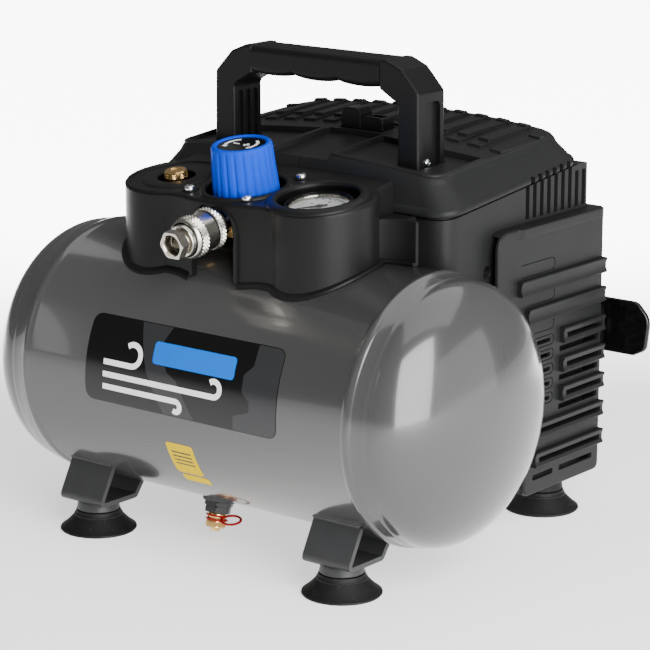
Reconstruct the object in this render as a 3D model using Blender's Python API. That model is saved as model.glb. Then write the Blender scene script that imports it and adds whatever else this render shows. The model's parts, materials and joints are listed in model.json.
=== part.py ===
"""Small oil-free air compressor: a 6 litre tank on suction feet, a control console on top of it,
and a motor and pump in a plastic housing behind it, under a carrying handle.

Sizes are written in millimetres and become metres when a mesh is made. Every place is given in
the tank's frame: x along the tank, y backwards from the tank's axis, z up from the ground.
The console's pieces are placed in a second frame on the tank's axis, leaned towards the user, so
that z there is the distance from the axis.
"""
import math

import bmesh
import bpy
from mathutils import Matrix, Vector

MM = 0.001
GAP = 0.3                       # clearance between neighbouring pieces

# Tank
TANK_RADIUS = 80.0
TANK_Z = 104.6                  # height of the axis
SEAM_X = 125.5                  # weld seam between shell and head
HEAD_FLANGE = 11.0              # straight stretch of the head
HEAD_DEPTH = 40.0               # dished stretch of the head
TANK_WALL = 2.5
TANK_STEPS = 40

# Feet
CUP_RADIUS = 23.8
FRONT_FOOT = (96.8, -47.7)
REAR_FOOT = (94.4, 160.0)
COLLAR_LOW = 13.0
FRONT_BRACKET_Z = 18.9
BRACKET_WIDTH = 34.5
SHEET = 3.0                     # steel sheet of brackets and base

# Housing
HOUSE_X = 112.0
HOUSE_FRONT = 30.0
HOUSE_REAR = 180.0
HOUSE_LOW = 26.0
WALL = 2.5
LEDGE_Z = 223.4                 # housing's top behind the cover
HOUSE_CORNER = 14.0
SLOT_WIDTH = 3.8                # cooling slots in the sides
SLOT_FRONT = 111.0
SLOT_COUNT = 9
SLOT_LOW, SLOT_HIGH = 197.0, 217.0
SHELL_X = 120.0                 # ribbed rear shell
SHELL_REAR = 186.0
SHELL_LOW = 24.6
SHELL_HIGH = 195.0
RIB_HEIGHT = 9.5                # ribs on the shell's sides
RIB_RISE = 4.0
BASE_LOW = 27.0
BASE_HIGH = BASE_LOW + SHEET

# Top cover
COVER_X = 116.0
COVER_FRONT = 26.5
COVER_REAR = 168.0
ROOF_X = 102.0

# Handle
HANDLE_FRONT = 46.0
HANDLE_REAR = 73.0
POST_OUT = 79.5
POST_IN = 63.5
POST_LOW = 216.0
BAR_LOW = 279.0
HANDLE_TOP = 296.0
GRIP_X = 50.0
SWITCH_FRONT, SWITCH_REAR = 93.0, 106.0
SWITCH_X = 16.0

# Console
TILT = math.radians(8.4)
PLATE = 119.3                   # console's top face, from the tank's axis
LOBE_X = 56.0
LOBE_Y = -14.0
LOBE_RADIUS = 32.5
CONSOLE_FRONT = -45.5
CONSOLE_REAR = COVER_FRONT - 0.5
WING_X = 102.0
WING_TOP = 210.0
WING_ROOT = 72.0                # wings start inside the lobes
WING_BEND = 28.0
PORT_X = 55.0                   # safety valve and gauge stand at -PORT_X and PORT_X
GAUGE_RADIUS = 20.5
KNOB_RADIUS = 20.6
KNOB_LOW, KNOB_HIGH = 113.0, 147.0
MANIFOLD_LOW, MANIFOLD_HIGH = 92.0, 112.0
COUPLER_Z = 105.0

# Drain, leaned forwards from straight down
DRAIN_LEAN = math.radians(15)

# Motor and pump
SHAFT_Y = 133.0
SHAFT_Z = 95.0
STATOR_RADIUS = 38.0
CRANK_THROW = 8.0
CYLINDER_X = 22.5
BORE_RADIUS = 21.0

# Rear hooks
HOOK_REAR = 200.0
COUPLER_TIP = 69.3

# The part's origin is under the middle of its box.
FRONT_REACH = -COUPLER_TIP * math.cos(TILT) - (COUPLER_Z + 9.0) * math.sin(TILT)
CENTRE_Y = (FRONT_REACH + HOOK_REAR) / 2


# ---------------------------------------------------------------- helpers
def clear_scene():
    for old in list(bpy.data.objects):
        bpy.data.objects.remove(old, do_unlink=True)


def material(name, colour, roughness, metallic=0.0):
    made = bpy.data.materials.new(name)
    made.use_nodes = True
    shader = made.node_tree.nodes["Principled BSDF"]
    shader.inputs["Base Color"].default_value = (*colour, 1.0)
    shader.inputs["Roughness"].default_value = roughness
    shader.inputs["Metallic"].default_value = metallic
    return made


def empty(name, at=(0, 0, 0), turn=(0, 0, 0), parent=None):
    made = bpy.data.objects.new(name, None)
    bpy.context.collection.objects.link(made)
    made.location = Vector(at) * MM
    made.rotation_euler = turn
    made.parent = parent
    return made


def skin(loops, closed=False):
    """A solid through loops of equally many points; a closed one runs back to its first loop."""
    mesh = bmesh.new()
    rows = [[mesh.verts.new(point) for point in loop] for loop in loops]
    pairs = list(zip(rows, rows[1:]))
    if closed:
        pairs.append((rows[-1], rows[0]))
    else:
        mesh.faces.new(rows[0])
        mesh.faces.new(rows[-1])
    for lower, upper in pairs:
        for k in range(len(lower)):
            following = (k + 1) % len(lower)
            mesh.faces.new((lower[k], lower[following], upper[following], upper[k]))
    bmesh.ops.remove_doubles(mesh, verts=mesh.verts, dist=0.001)
    bmesh.ops.recalc_face_normals(mesh, faces=mesh.faces)
    return mesh


def circle(radius, steps, height=0.0):
    angles = [2 * math.pi * k / steps for k in range(steps)]
    return [(radius * math.cos(a), radius * math.sin(a), height) for a in angles]


def turned(profile, steps=24, closed=False):
    """A turned solid about z from (radius, height) pairs."""
    return skin([circle(radius, steps, height) for radius, height in profile], closed)


def cylinder(radius, low, high, steps=24):
    return turned([(radius, low), (radius, high)], steps)


def tube(inner, outer, low, high, steps=24):
    return turned([(inner, low), (outer, low), (outer, high), (inner, high)], steps, closed=True)


def block(low, high):
    (x0, y0, z0), (x1, y1, z1) = low, high
    outline = [(x0, y0), (x1, y0), (x1, y1), (x0, y1)]
    return skin([[(x, y, z0) for x, y in outline], [(x, y, z1) for x, y in outline]])


def arc(centre, radius, start, end, steps):
    """Points of an arc; angles in degrees."""
    angles = [math.radians(start + (end - start) * k / steps) for k in range(steps + 1)]
    return [(centre[0] + radius * math.cos(a), centre[1] + radius * math.sin(a)) for a in angles]


def rounded(x0, x1, y0, y1, radius, corner=5, pieces_x=1, pieces_y=1):
    """A rounded rectangle, anticlockwise, with extra points along its straight sides."""
    def side(start, end, pieces):
        steps = [k / pieces for k in range(1, pieces)]
        return [(start[0] + (end[0] - start[0]) * t, start[1] + (end[1] - start[1]) * t) for t in steps]

    points = []
    corners = [((x1 - radius, y0 + radius), -90), ((x1 - radius, y1 - radius), 0),
               ((x0 + radius, y1 - radius), 90), ((x0 + radius, y0 + radius), 180)]
    bends = [arc(centre, radius, start, start + 90, corner) for centre, start in corners]
    for k, bend in enumerate(bends):
        points += bend
        points += side(bend[-1], bends[(k + 1) % 4][0], pieces_y if k % 2 == 0 else pieces_x)
    return points


def upright(outline, low, high):
    """A prism over an x-y outline; low and high are heights or functions of a point."""
    def level(height, x, y):
        return height(x, y) if callable(height) else height

    return skin([[(x, y, level(low, x, y)) for x, y in outline],
                 [(x, y, level(high, x, y)) for x, y in outline]])


def along_x(outline, low, high):
    return skin([[(x, y, z) for y, z in outline] for x in (low, high)])


def along_y(outline, low, high):
    return skin([[(x, y, z) for x, z in outline] for y in (low, high)])


def add(name, mesh, look, at=(0, 0, 0), turn=(0, 0, 0), parent=None):
    bmesh.ops.scale(mesh, vec=(MM, MM, MM), verts=mesh.verts)
    data = bpy.data.meshes.new(name)
    mesh.to_mesh(data)
    mesh.free()
    data.shade_smooth()
    data.set_sharp_from_angle(angle=math.radians(30))
    if look:
        data.materials.append(look)
    made = bpy.data.objects.new(name, data)
    bpy.context.collection.objects.link(made)
    made.location = Vector(at) * MM
    made.rotation_euler = turn
    made.parent = parent or ROOT
    return made


def tool(mesh, at=(0, 0, 0), turn=(0, 0, 0), parent=None):
    """A cutter or an added shape, which isn't a piece itself."""
    made = add("tool", mesh, None, at, turn, parent)
    made.hide_render = True
    made.display_type = "WIRE"
    return made


def shape(piece, operation, *tools):
    for used in tools:
        change = piece.modifiers.new("shape", "BOOLEAN")
        change.operation = operation
        change.solver = "EXACT"
        change.object = used
    return piece


ALONG_X = (0, math.pi / 2, 0)       # turns a z axis to +x
ALONG_FRONT = (math.pi / 2, 0, 0)   # turns a z axis to -y


# ---------------------------------------------------------------- tank
def head_curve(radius, depth, steps):
    """Quarter ellipse of a dished head, from the rim to its crown."""
    angles = [math.pi / 2 * k / steps for k in range(steps + 1)]
    return [(radius * math.cos(a), depth * math.sin(a)) for a in angles]


def tank_profile(radius, half, depth, steps, ridge=0.0):
    """(radius, position) from one crown to the other; ridge is the height of the weld seams."""
    right = [(r, half + HEAD_FLANGE + p) for r, p in head_curve(radius, depth, steps)]
    if ridge:
        seam = [(radius, half - 4), (radius + ridge, half - 2.5), (radius + ridge, half + 1.5), (radius, half + 3)]
        right = seam + right
    left = [(r, -p) for r, p in reversed(right)]
    return left + right


def build_tank():
    steel = material("tank_paint", (0.16, 0.165, 0.17), 0.25, 0.3)
    outer = turned(tank_profile(TANK_RADIUS, SEAM_X, HEAD_DEPTH, 6, ridge=1.5), TANK_STEPS)
    tank = add("tank_shell", outer, steel, (0, 0, TANK_Z), ALONG_X)
    inner = turned(tank_profile(TANK_RADIUS - TANK_WALL, SEAM_X, HEAD_DEPTH - TANK_WALL, 4), 32)
    hollow = tool(inner, (0, 0, TANK_Z), ALONG_X)
    outlet = tool(cylinder(4.0, 60, 90, 16), parent=CONSOLE)
    inlet = tool(cylinder(4.0, 60, 90, 16), (CHECK_VALVE[0], 0, TANK_Z), (-CHECK_ANGLE, 0, 0))
    drain = tool(cylinder(4.0, 60, 90, 16), parent=DRAIN)
    shape(tank, "DIFFERENCE", hollow, outlet, inlet, drain)


def tank_clearance():
    return tool(cylinder(TANK_RADIUS + 0.5, -150, 150, 72), (0, 0, TANK_Z), ALONG_X)


# ---------------------------------------------------------------- feet
def build_feet():
    paint = material("bracket_paint", (0.17, 0.175, 0.18), 0.4, 0.2)
    rubber = material("cup_rubber", (0.02, 0.02, 0.02), 0.75)
    steel = material("collar_paint", (0.1, 0.1, 0.105), 0.5)
    cup = [(0, 3.5), (CUP_RADIUS - 2.4, 0), (CUP_RADIUS - 0.6, 0), (CUP_RADIUS, 0.8), (18.5, 5.0),
           (14.6, 9.2), (13.2, COLLAR_LOW - GAP), (0, COLLAR_LOW - GAP)]
    for side, sign in (("left", -1), ("right", 1)):
        places = (("front", FRONT_FOOT, FRONT_BRACKET_Z - GAP), ("rear", REAR_FOOT, BASE_LOW - GAP))
        for end, (x, y), top in places:
            add(f"suction_cup_{end}_{side}", turned(cup, 28), rubber, (sign * x, y, 0))
            add(f"foot_collar_{end}_{side}", cylinder(13.2, COLLAR_LOW, top), steel, (sign * x, y, 0))
        build_front_bracket(side, sign, paint)


def build_front_bracket(side, sign, paint):
    """A bent U of sheet steel whose two webs are welded under the tank."""
    low = FRONT_BRACKET_Z
    web = [(-46.0, 55.0), (-65.3, low), (-30.6, low), (-13.5, 42.0), (-16.6, 43.5),
           (-32.5, low + SHEET), (-60.6, low + SHEET), (-42.8, 55.0)]
    middle = sign * FRONT_FOOT[0]
    bracket = add(f"front_bracket_{side}", along_x(web, middle - BRACKET_WIDTH / 2, middle + BRACKET_WIDTH / 2), paint)
    shape(bracket, "DIFFERENCE", tank_clearance())


# ---------------------------------------------------------------- drain
def build_drain():
    """The cock under the tank, in a frame whose z runs from the tank's axis out through it."""
    paint = material("boss_paint", (0.16, 0.165, 0.17), 0.4, 0.2)
    brass = material("brass", (0.72, 0.5, 0.22), 0.3, 1.0)
    red = material("tether_plastic", (0.6, 0.03, 0.03), 0.4)
    add("drain_boss", tube(4.3, 9.0, 81.0, 84.5, 6), paint, parent=DRAIN)
    body = [(0, 78.0), (3.5, 78.0), (3.5, 84.8), (7.6, 84.8), (7.6, 88.6), (4.6, 88.6), (4.6, 93.0), (0, 93.0)]
    add("drain_valve_body", turned(body, 24), brass, parent=DRAIN)
    cap = [(0, 93.3), (6.2, 93.3), (6.2, 97.8), (3.0, 97.8), (3.0, 100.0), (0, 100.0)]
    add("drain_cap", turned(cap, 24), brass, parent=DRAIN)
    strap = [(x, y) for x, y in arc((0, 0), 7.3, 20, 340, 14)]
    strap += list(reversed(arc((0, 0), 5.2, 20, 340, 14)))
    add("drain_tether", upright(strap, 89.4, 91.0), red, parent=DRAIN)


# ---------------------------------------------------------------- base and housing
def build_base():
    steel = material("base_steel", (0.2, 0.2, 0.21), 0.5, 0.6)
    outline = rounded(-109.0, 109.0, 84, 177.0, 12, corner=3)
    add("base_plate", upright(outline, BASE_LOW, BASE_HIGH), steel)
    strut = [(112, BASE_HIGH + GAP), (82, BASE_HIGH + GAP), (50, 42), (50, 46), (83, BASE_HIGH + GAP + SHEET),
             (112, BASE_HIGH + GAP + SHEET)]
    for side, sign in (("left", -1), ("right", 1)):
        span = sorted((sign * 60, sign * 88))
        piece = add(f"tank_strut_{side}", along_x(strut, *span), steel)
        shape(piece, "DIFFERENCE", tank_clearance())


def body_top(x, y):
    """Inclined rim of the housing, hidden under the cover's lip."""
    return 213.0 + 0.11 * (y - HOUSE_FRONT)


def body_ceiling(x, y):
    return 211.0 + 0.075 * (y - HOUSE_FRONT)


def build_housing():
    plastic = material("housing_plastic", (0.03, 0.031, 0.033), 0.42)
    outline = rounded(-HOUSE_X, HOUSE_X, HOUSE_FRONT, HOUSE_REAR, HOUSE_CORNER)
    housing = add("main_housing", upright(outline, HOUSE_LOW, body_top), plastic)
    inside = rounded(-HOUSE_X + WALL, HOUSE_X - WALL, HOUSE_FRONT + WALL, HOUSE_REAR - WALL,
                     HOUSE_CORNER - WALL)
    room = tool(upright(inside, HOUSE_LOW - 5, body_ceiling))
    mouth = tool(upright(rounded(-104, 104, 38, 164, 8), 180, 250))
    window = tool(block((-100, 160, 34), (100, 190, 190)))
    ledge = tool(block((-130, COVER_REAR - 13, LEDGE_Z), (130, 200, 260)))
    slots = [tool(block((sign * HOUSE_X - 6, y, SLOT_LOW), (sign * HOUSE_X + 6, y + SLOT_WIDTH, SLOT_HIGH)))
             for sign in (-1, 1) for y in [SLOT_FRONT + 2 * SLOT_WIDTH * k for k in range(SLOT_COUNT)]]
    shape(housing, "DIFFERENCE", room, mouth, window, ledge, tank_clearance(), *slots)

    side_view = arc((SHELL_REAR - 5, SHELL_LOW + 5), 5, -90, 0, 3) + [(SHELL_REAR, SHELL_HIGH)]
    side_view += arc((84, SHELL_HIGH - 12), 12, 90, 180, 5) + [(72, 152), (103, 60), (103, SHELL_LOW)]
    shell = add("rear_shell", along_x(side_view, -SHELL_X, SHELL_X), plastic)
    hollow = tool(block((-SHELL_X + WALL, 60, 0), (SHELL_X - WALL, SHELL_REAR - WALL, SHELL_HIGH - WALL)))
    collar = rounded(-HOUSE_X - GAP, HOUSE_X + GAP, HOUSE_FRONT, HOUSE_REAR + GAP, HOUSE_CORNER)
    neck = tool(upright(collar, 150, 230))
    shape(shell, "DIFFERENCE", hollow, neck)
    ribs = [(92.2, 163), (100.6, 144.5), (139, 126), (139, 107.5), (139, 89), (108, 70.5), (110.4, 52)]
    for sign in (-1, 1):
        for front, top in ribs:
            span = sorted((sign * (SHELL_X - 1.5), sign * (SHELL_X + RIB_RISE)))
            rib = tool(block((span[0], front, top - RIB_HEIGHT), (span[1], SHELL_REAR - 1.0, top)))
            shape(shell, "UNION", rib)


def roof(x, y):
    """Height of the cover's crowned roof, rising to the rear."""
    return 238.0 + 0.085 * (y - 33) - 6.5 * (x / ROOF_X) ** 2


def lip(y):
    return 210.3 + 0.11 * (y - HOUSE_FRONT)


def cover_loops(inset):
    """Loops from the lip up over the shoulder to the middle of the roof."""
    def loop(x, front, rear, radius, level):
        outline = rounded(-x + inset, x - inset, front + inset, rear - inset, max(radius - inset, 2), 4, 6, 3)
        return [(px, py, level(px, py)) for px, py in outline]

    loops = [loop(COVER_X, COVER_FRONT, COVER_REAR, 16, lambda x, y: lip(y)),
             loop(COVER_X, COVER_FRONT, COVER_REAR, 16, lambda x, y: lip(y) + 5),
             loop(ROOF_X + 2, 33, 164, 15, lambda x, y: roof(x, y) - 2.5 - inset),
             loop(ROOF_X - 2, 36, 161, 14, lambda x, y: roof(x, y) - inset)]
    for scale in (0.7, 0.35):
        loops.append(loop(ROOF_X * scale, 98 - 62 * scale, 98 + 62 * scale, 12 * scale + inset,
                          lambda x, y: roof(x, y) - inset))
    return loops


def build_cover():
    plastic = material("cover_plastic", (0.026, 0.027, 0.029), 0.4)
    wall_top = cover_loops(0)
    wall_under = cover_loops(WALL)
    mesh = bmesh.new()
    rows = [[mesh.verts.new(p) for p in loop] for loop in reversed(wall_top)]
    rows += [[mesh.verts.new(p) for p in loop] for loop in wall_under]
    mesh.faces.new(rows[0])
    mesh.faces.new(rows[-1])
    for first, second in zip(rows, rows[1:]):
        for k in range(len(first)):
            following = (k + 1) % len(first)
            mesh.faces.new((first[k], first[following], second[following], second[k]))
    bmesh.ops.recalc_face_normals(mesh, faces=mesh.faces)
    cover = add("top_cover", mesh, plastic)
    channel = tool(block((-21, 20, 234.5), (21, 60, 260)))
    posts = [tool(block(*post_room(sign))) for sign in (-1, 1)]
    switch = tool(block((-SWITCH_X - 1, SWITCH_FRONT - 1, 200), (SWITCH_X + 1, SWITCH_REAR + 1, 280)))
    shape(cover, "DIFFERENCE", channel, switch, *posts)


def post_room(sign):
    low, high = sorted((sign * (POST_IN - 0.5), sign * (POST_OUT + 0.5)))
    return (low, HANDLE_FRONT - 0.5, 190), (high, HANDLE_REAR + 0.5, 290)


# ---------------------------------------------------------------- handle and rear fittings
def build_handle():
    plastic = material("handle_plastic", (0.028, 0.029, 0.031), 0.38)
    outer = [(POST_OUT, POST_LOW), (POST_OUT - 1, 278), (65, 292.5), (54, HANDLE_TOP)]
    inner = [(POST_IN, POST_LOW), (POST_IN, 270.5), (50, BAR_LOW)]
    outline = outer + [(-x, z) for x, z in reversed(outer)]
    outline += [(-x, z) for x, z in inner] + list(reversed(inner))
    frame = add("handle_frame", along_y(outline, HANDLE_FRONT, HANDLE_REAR), plastic)
    bar_room = (HANDLE_FRONT + 4, HANDLE_REAR - 4, 282.5, 291.5)
    jacket = rounded(HANDLE_FRONT - 5, HANDLE_REAR + 5, 270, 300, 1, corner=1)
    waist = rounded(bar_room[0], bar_room[1], bar_room[2], bar_room[3], 2, corner=2)
    sleeve = tool(along_x(jacket, -GRIP_X, GRIP_X))
    kept = tool(along_x(waist, -GRIP_X - 1, GRIP_X + 1))
    shape(frame, "DIFFERENCE", sleeve)
    shape(frame, "UNION", kept)
    rubber = material("grip_plastic", (0.022, 0.022, 0.024), 0.5)
    grip = rounded(HANDLE_FRONT, HANDLE_REAR, BAR_LOW, HANDLE_TOP - 1, 4, corner=3)
    piece = add("handle_grip", along_x(grip, -GRIP_X + GAP, GRIP_X - GAP), rubber)
    bore = rounded(bar_room[0] - GAP, bar_room[1] + GAP, bar_room[2] - GAP, bar_room[3] + GAP, 2, corner=2)
    shape(piece, "DIFFERENCE", tool(along_x(bore, -GRIP_X - 5, GRIP_X + 5)))


def build_rear_fittings():
    gloss = material("hook_plastic", (0.012, 0.012, 0.013), 0.2)
    inlet_look = material("inlet_plastic", (0.02, 0.02, 0.02), 0.5)
    for side, sign in (("left", -1), ("right", 1)):
        arm = [(sign * 101, 104), (sign * 116, 104), (sign * 116, 130), (sign * 101, 130)]
        hook = add(f"cord_hook_{side}", along_y(arm, SHELL_REAR + GAP, HOOK_REAR - 2), gloss)
        lip_outline = [(101, 99), (136, 99)] + arc((140, 107), 8, -60, 0, 4) + arc((138, 123), 10, 0, 80, 4)
        lip_outline += [(101, 134)]
        lip_plate = along_y([(sign * x, z) for x, z in lip_outline], HOOK_REAR - 4, HOOK_REAR)
        shape(hook, "UNION", tool(lip_plate))
    inlet = [(0, 0), (10, 0), (10, 3), (7.5, 3), (6.5, 9), (3.5, 9), (3.5, 4), (0, 4)]
    add("cable_inlet", turned(inlet, 24), inlet_look, (-80, SHELL_REAR + GAP, 60), (-math.pi / 2, 0, 0))


def build_switch():
    shell = material("switch_plastic", (0.02, 0.02, 0.021), 0.45)
    add("switch_body", block((-20, 64, 190), (20, SWITCH_REAR, 224)), shell)
    profile = [(-SWITCH_X, 224.6), (SWITCH_X, 224.6), (SWITCH_X, 251), (0, 251), (-1.5, 255), (-SWITCH_X, 255)]
    add("switch_knob", along_y(profile, SWITCH_FRONT, SWITCH_REAR), shell)


# ---------------------------------------------------------------- console
def lobe_outline(inset):
    """Half outline of the console from the middle of its front to its rear, right side."""
    lobe = arc((LOBE_X, LOBE_Y), LOBE_RADIUS - inset, -118, 52, 16)
    return [(16, CONSOLE_FRONT + inset), (30, CONSOLE_FRONT + 2.5 + inset)] + lobe + [(lobe[-1][0], CONSOLE_REAR)]


def both_sides(half):
    return [(-x, y) for x, y in reversed(half)] + half


def plate_level(depth):
    """Height of the leaned plane that lies `depth` under the console's top face."""
    def level(x, y):
        return TANK_Z + (PLATE - depth + y * math.sin(TILT)) / math.cos(TILT)
    return level


def wing_outline(sign, inset):
    """Low wing beside a lobe, whose front is a shallow hollow."""
    bend = arc((WING_X - 4, LOBE_Y), WING_BEND + inset, 150, 86, 6)
    side = WING_X - inset
    points = [(WING_ROOT, LOBE_Y + 8)] + bend + [(side, bend[-1][1]), (side, CONSOLE_REAR), (WING_ROOT, CONSOLE_REAR)]
    return [(sign * x, y) for x, y in points]


def build_shroud():
    plastic = material("console_plastic", (0.03, 0.031, 0.032), 0.45)
    shroud = add("control_shroud", upright(both_sides(lobe_outline(0)), 150, plate_level(0)), plastic)
    for sign in (-1, 1):
        shape(shroud, "UNION", tool(upright(wing_outline(sign, 0), 150, WING_TOP)))
    inside = lobe_outline(WALL)
    inside[-1] = (inside[-1][0], CONSOLE_REAR + 5)
    shape(shroud, "DIFFERENCE", tool(upright(both_sides(inside), 140, plate_level(WALL))))
    for sign in (-1, 1):
        hollow = [(x, y + (5 if y >= CONSOLE_REAR else 0)) for x, y in wing_outline(sign, WALL)]
        shape(shroud, "DIFFERENCE", tool(upright(hollow, 140, WING_TOP - WALL)))
    wells = [(-PORT_X, 12.0), (0, 24.0), (PORT_X, 24.4)]
    for x, radius in wells:
        shape(shroud, "DIFFERENCE", tool(cylinder(radius, 108, 130, 32), (x, 0, 0), parent=CONSOLE))
    arch = [(-16, 150), (16, 150)] + arc((0, 199), 16, 0, 180, 10)
    shape(shroud, "DIFFERENCE", tool(along_y(arch, -60, -35)), tank_clearance())


def build_manifold():
    brass = material("manifold_brass", (0.6, 0.45, 0.22), 0.4, 1.0)
    plug = [(0, 72.0), (3.6, 72.0), (3.6, 80.6), (7.0, 80.6), (7.0, MANIFOLD_LOW - GAP),
            (0, MANIFOLD_LOW - GAP)]
    add("tank_nipple", turned(plug, 24), brass, parent=CONSOLE)
    manifold = add("manifold", block((-14, -14, MANIFOLD_LOW), (14, 14, MANIFOLD_HIGH)), brass, parent=CONSOLE)
    arms = tool(block((-PORT_X - 9, -7, MANIFOLD_LOW), (PORT_X + 9, 7, MANIFOLD_LOW + 8)), parent=CONSOLE)
    shape(manifold, "UNION", arms)


def fluted(radius, steps_per_flute, flutes, depth, height):
    points = []
    for k in range(flutes * steps_per_flute):
        angle = 2 * math.pi * k / (flutes * steps_per_flute)
        reach = radius - depth * (k % steps_per_flute == 0)
        points.append((reach * math.cos(angle), reach * math.sin(angle), height))
    return points


def build_regulator():
    blue = material("knob_blue", (0.01, 0.19, 0.75), 0.4)
    black = material("disc_black", (0.015, 0.015, 0.015), 0.35)
    zinc = material("bonnet_zinc", (0.35, 0.35, 0.36), 0.45, 0.8)
    foot = MANIFOLD_HIGH + GAP
    add("regulator_bonnet", turned([(0, foot), (13, foot), (13, 130), (5, 131), (5, 139), (0, 139)], 28), zinc,
        parent=CONSOLE)
    levels = [(KNOB_RADIUS, KNOB_LOW), (KNOB_RADIUS, KNOB_LOW + 1.5), (KNOB_RADIUS - 0.8, KNOB_LOW + 3.5),
              (KNOB_RADIUS - 2.4, KNOB_HIGH - 1.5), (KNOB_RADIUS - 3.8, KNOB_HIGH)]
    loops = [fluted(radius, 3, 20, 0.8, height) for radius, height in levels]
    loops += [circle(14.2, 60, KNOB_HIGH), circle(14.2, 60, KNOB_HIGH - 1.2)]
    knob = add("regulator_knob", skin(loops), blue, parent=CONSOLE)
    shape(knob, "DIFFERENCE", tool(turned([(0, 100), (14.5, 100), (14.5, 140), (0, 140)], 32), parent=CONSOLE))
    add("regulator_disc", cylinder(13.9, KNOB_HIGH - 0.9, KNOB_HIGH + 0.1, 28), black, parent=CONSOLE)


def build_safety_valve():
    brass = material("valve_brass", (0.72, 0.5, 0.22), 0.3, 1.0)
    body = [(0, 100.3), (8.5, 100.3), (8.5, 106), (7, 107), (7, 113), (2.5, 113), (2.5, 118), (0, 118)]
    add("safety_valve_body", turned(body, 24), brass, (-PORT_X, 0, 0), parent=CONSOLE)
    cap = [(0, 118.5), (3.0, 118.5), (3.0, 113.4), (6.9, 113.4), (6.9, 123.0), (6.2, 124.0), (0, 124.0)]
    add("safety_valve_cap", turned(cap, 28), brass, (-PORT_X, 0, 0), parent=CONSOLE)


def build_gauge():
    case_look = material("gauge_case", (0.02, 0.02, 0.02), 0.3)
    face_look = material("gauge_face", (0.8, 0.8, 0.8), 0.5)
    glass = material("gauge_glass", (0.9, 0.92, 0.93), 0.05)
    mouth = GAUGE_RADIUS - 1.6
    case = [(0, 100.3), (16, 100.3), (GAUGE_RADIUS, 104), (GAUGE_RADIUS, 117.4), (mouth, 117.4), (mouth, 112),
            (0, 112)]
    add("gauge_case", turned(case, 32), case_look, (PORT_X, 0, 0), parent=CONSOLE)
    add("gauge_dial", cylinder(mouth - 0.5, 112.3, 113.3, 28), face_look, (PORT_X, 0, 0), parent=CONSOLE)
    hand = [(-1.0, -4.5), (1.0, -4.5), (1.6, 0), (0.35, 13.5), (-0.35, 13.5), (-1.6, 0)]
    start = math.radians(135)
    add("gauge_needle", upright(hand, 113.9, 114.5), case_look, (PORT_X, 0, 0), (0, 0, start), CONSOLE)
    add("gauge_lens", cylinder(mouth - 0.4, 115.2, 116.4, 28), glass, (PORT_X, 0, 0), parent=CONSOLE)


def build_coupler():
    """The quick coupler, turned about an axis that points to the front; heights run outwards."""
    nickel = material("nickel", (0.62, 0.6, 0.56), 0.25, 1.0)
    at = (0, 0, COUPLER_Z)
    body = [(0, 14.3), (7, 14.3), (7, 31), (10.3, 31), (10.3, 57), (6.8, 58), (6.8, 63),
            (8.6, 63), (8.6, COUPLER_TIP), (5.0, COUPLER_TIP), (5.0, 40), (0, 40)]
    add("coupler_body", turned(body, 24), nickel, at, ALONG_FRONT, CONSOLE)
    add("coupler_nut", tube(10.6, 12.6, 33.6, 39.5, 28), nickel, at, ALONG_FRONT, CONSOLE)
    add("coupler_sleeve", tube(10.6, 12.2, 39.8, 58.0, 28), nickel, at, ALONG_FRONT, CONSOLE)


# ---------------------------------------------------------------- motor and pump
def on_shaft(name, mesh, look):
    return add(name, mesh, look, (0, SHAFT_Y, SHAFT_Z), ALONG_X)


def build_motor():
    iron = material("stator_iron", (0.25, 0.25, 0.26), 0.5, 0.8)
    copper = material("rotor_copper", (0.6, 0.28, 0.12), 0.4, 0.8)
    steel = material("bearing_steel", (0.55, 0.55, 0.56), 0.25, 1.0)
    plastic = material("fan_plastic", (0.05, 0.05, 0.05), 0.5)
    on_shaft("motor_stator", tube(25, STATOR_RADIUS, -70, -20, 28), iron)
    rotor = [(0, -102), (4, -102), (4, -75), (12, -75), (12, -71), (24, -71), (24, -19), (12, -19), (12, -15),
             (4, -15), (4, 3), (0, 3)]
    on_shaft("motor_rotor", turned(rotor, 20), copper)
    on_shaft("rear_bearing", tube(4.3, 9, -84, -77, 20), steel)
    on_shaft("motor_end_bracket", tube(9.3, STATOR_RADIUS, -84, -78, 28), iron)
    on_shaft("front_bearing", tube(4.3, 9, -12, -5, 20), steel)
    fan = on_shaft("cooling_fan", tube(4.3, 10, -99, -88, 20), plastic)
    shape(fan, "UNION", tool(tube(8, 36, -89.5, -87.5, 24), (0, SHAFT_Y, SHAFT_Z), ALONG_X))
    for k in range(8):
        blade = block((9, -1.2, -98), (35, 1.2, -89))
        bmesh.ops.rotate(blade, verts=blade.verts, matrix=Matrix.Rotation(k * math.pi / 4, 3, "Z"))
        shape(fan, "UNION", tool(blade, (0, SHAFT_Y, SHAFT_Z), ALONG_X))
    cradle = add("motor_cradle", block((-62, SHAFT_Y - 20, BASE_HIGH + GAP), (-28, SHAFT_Y + 20, 66)), iron)
    rest = tool(cylinder(STATOR_RADIUS + 0.5, -80, 0, 48), (0, SHAFT_Y, SHAFT_Z), ALONG_X)
    shape(cradle, "DIFFERENCE", rest)


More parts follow.
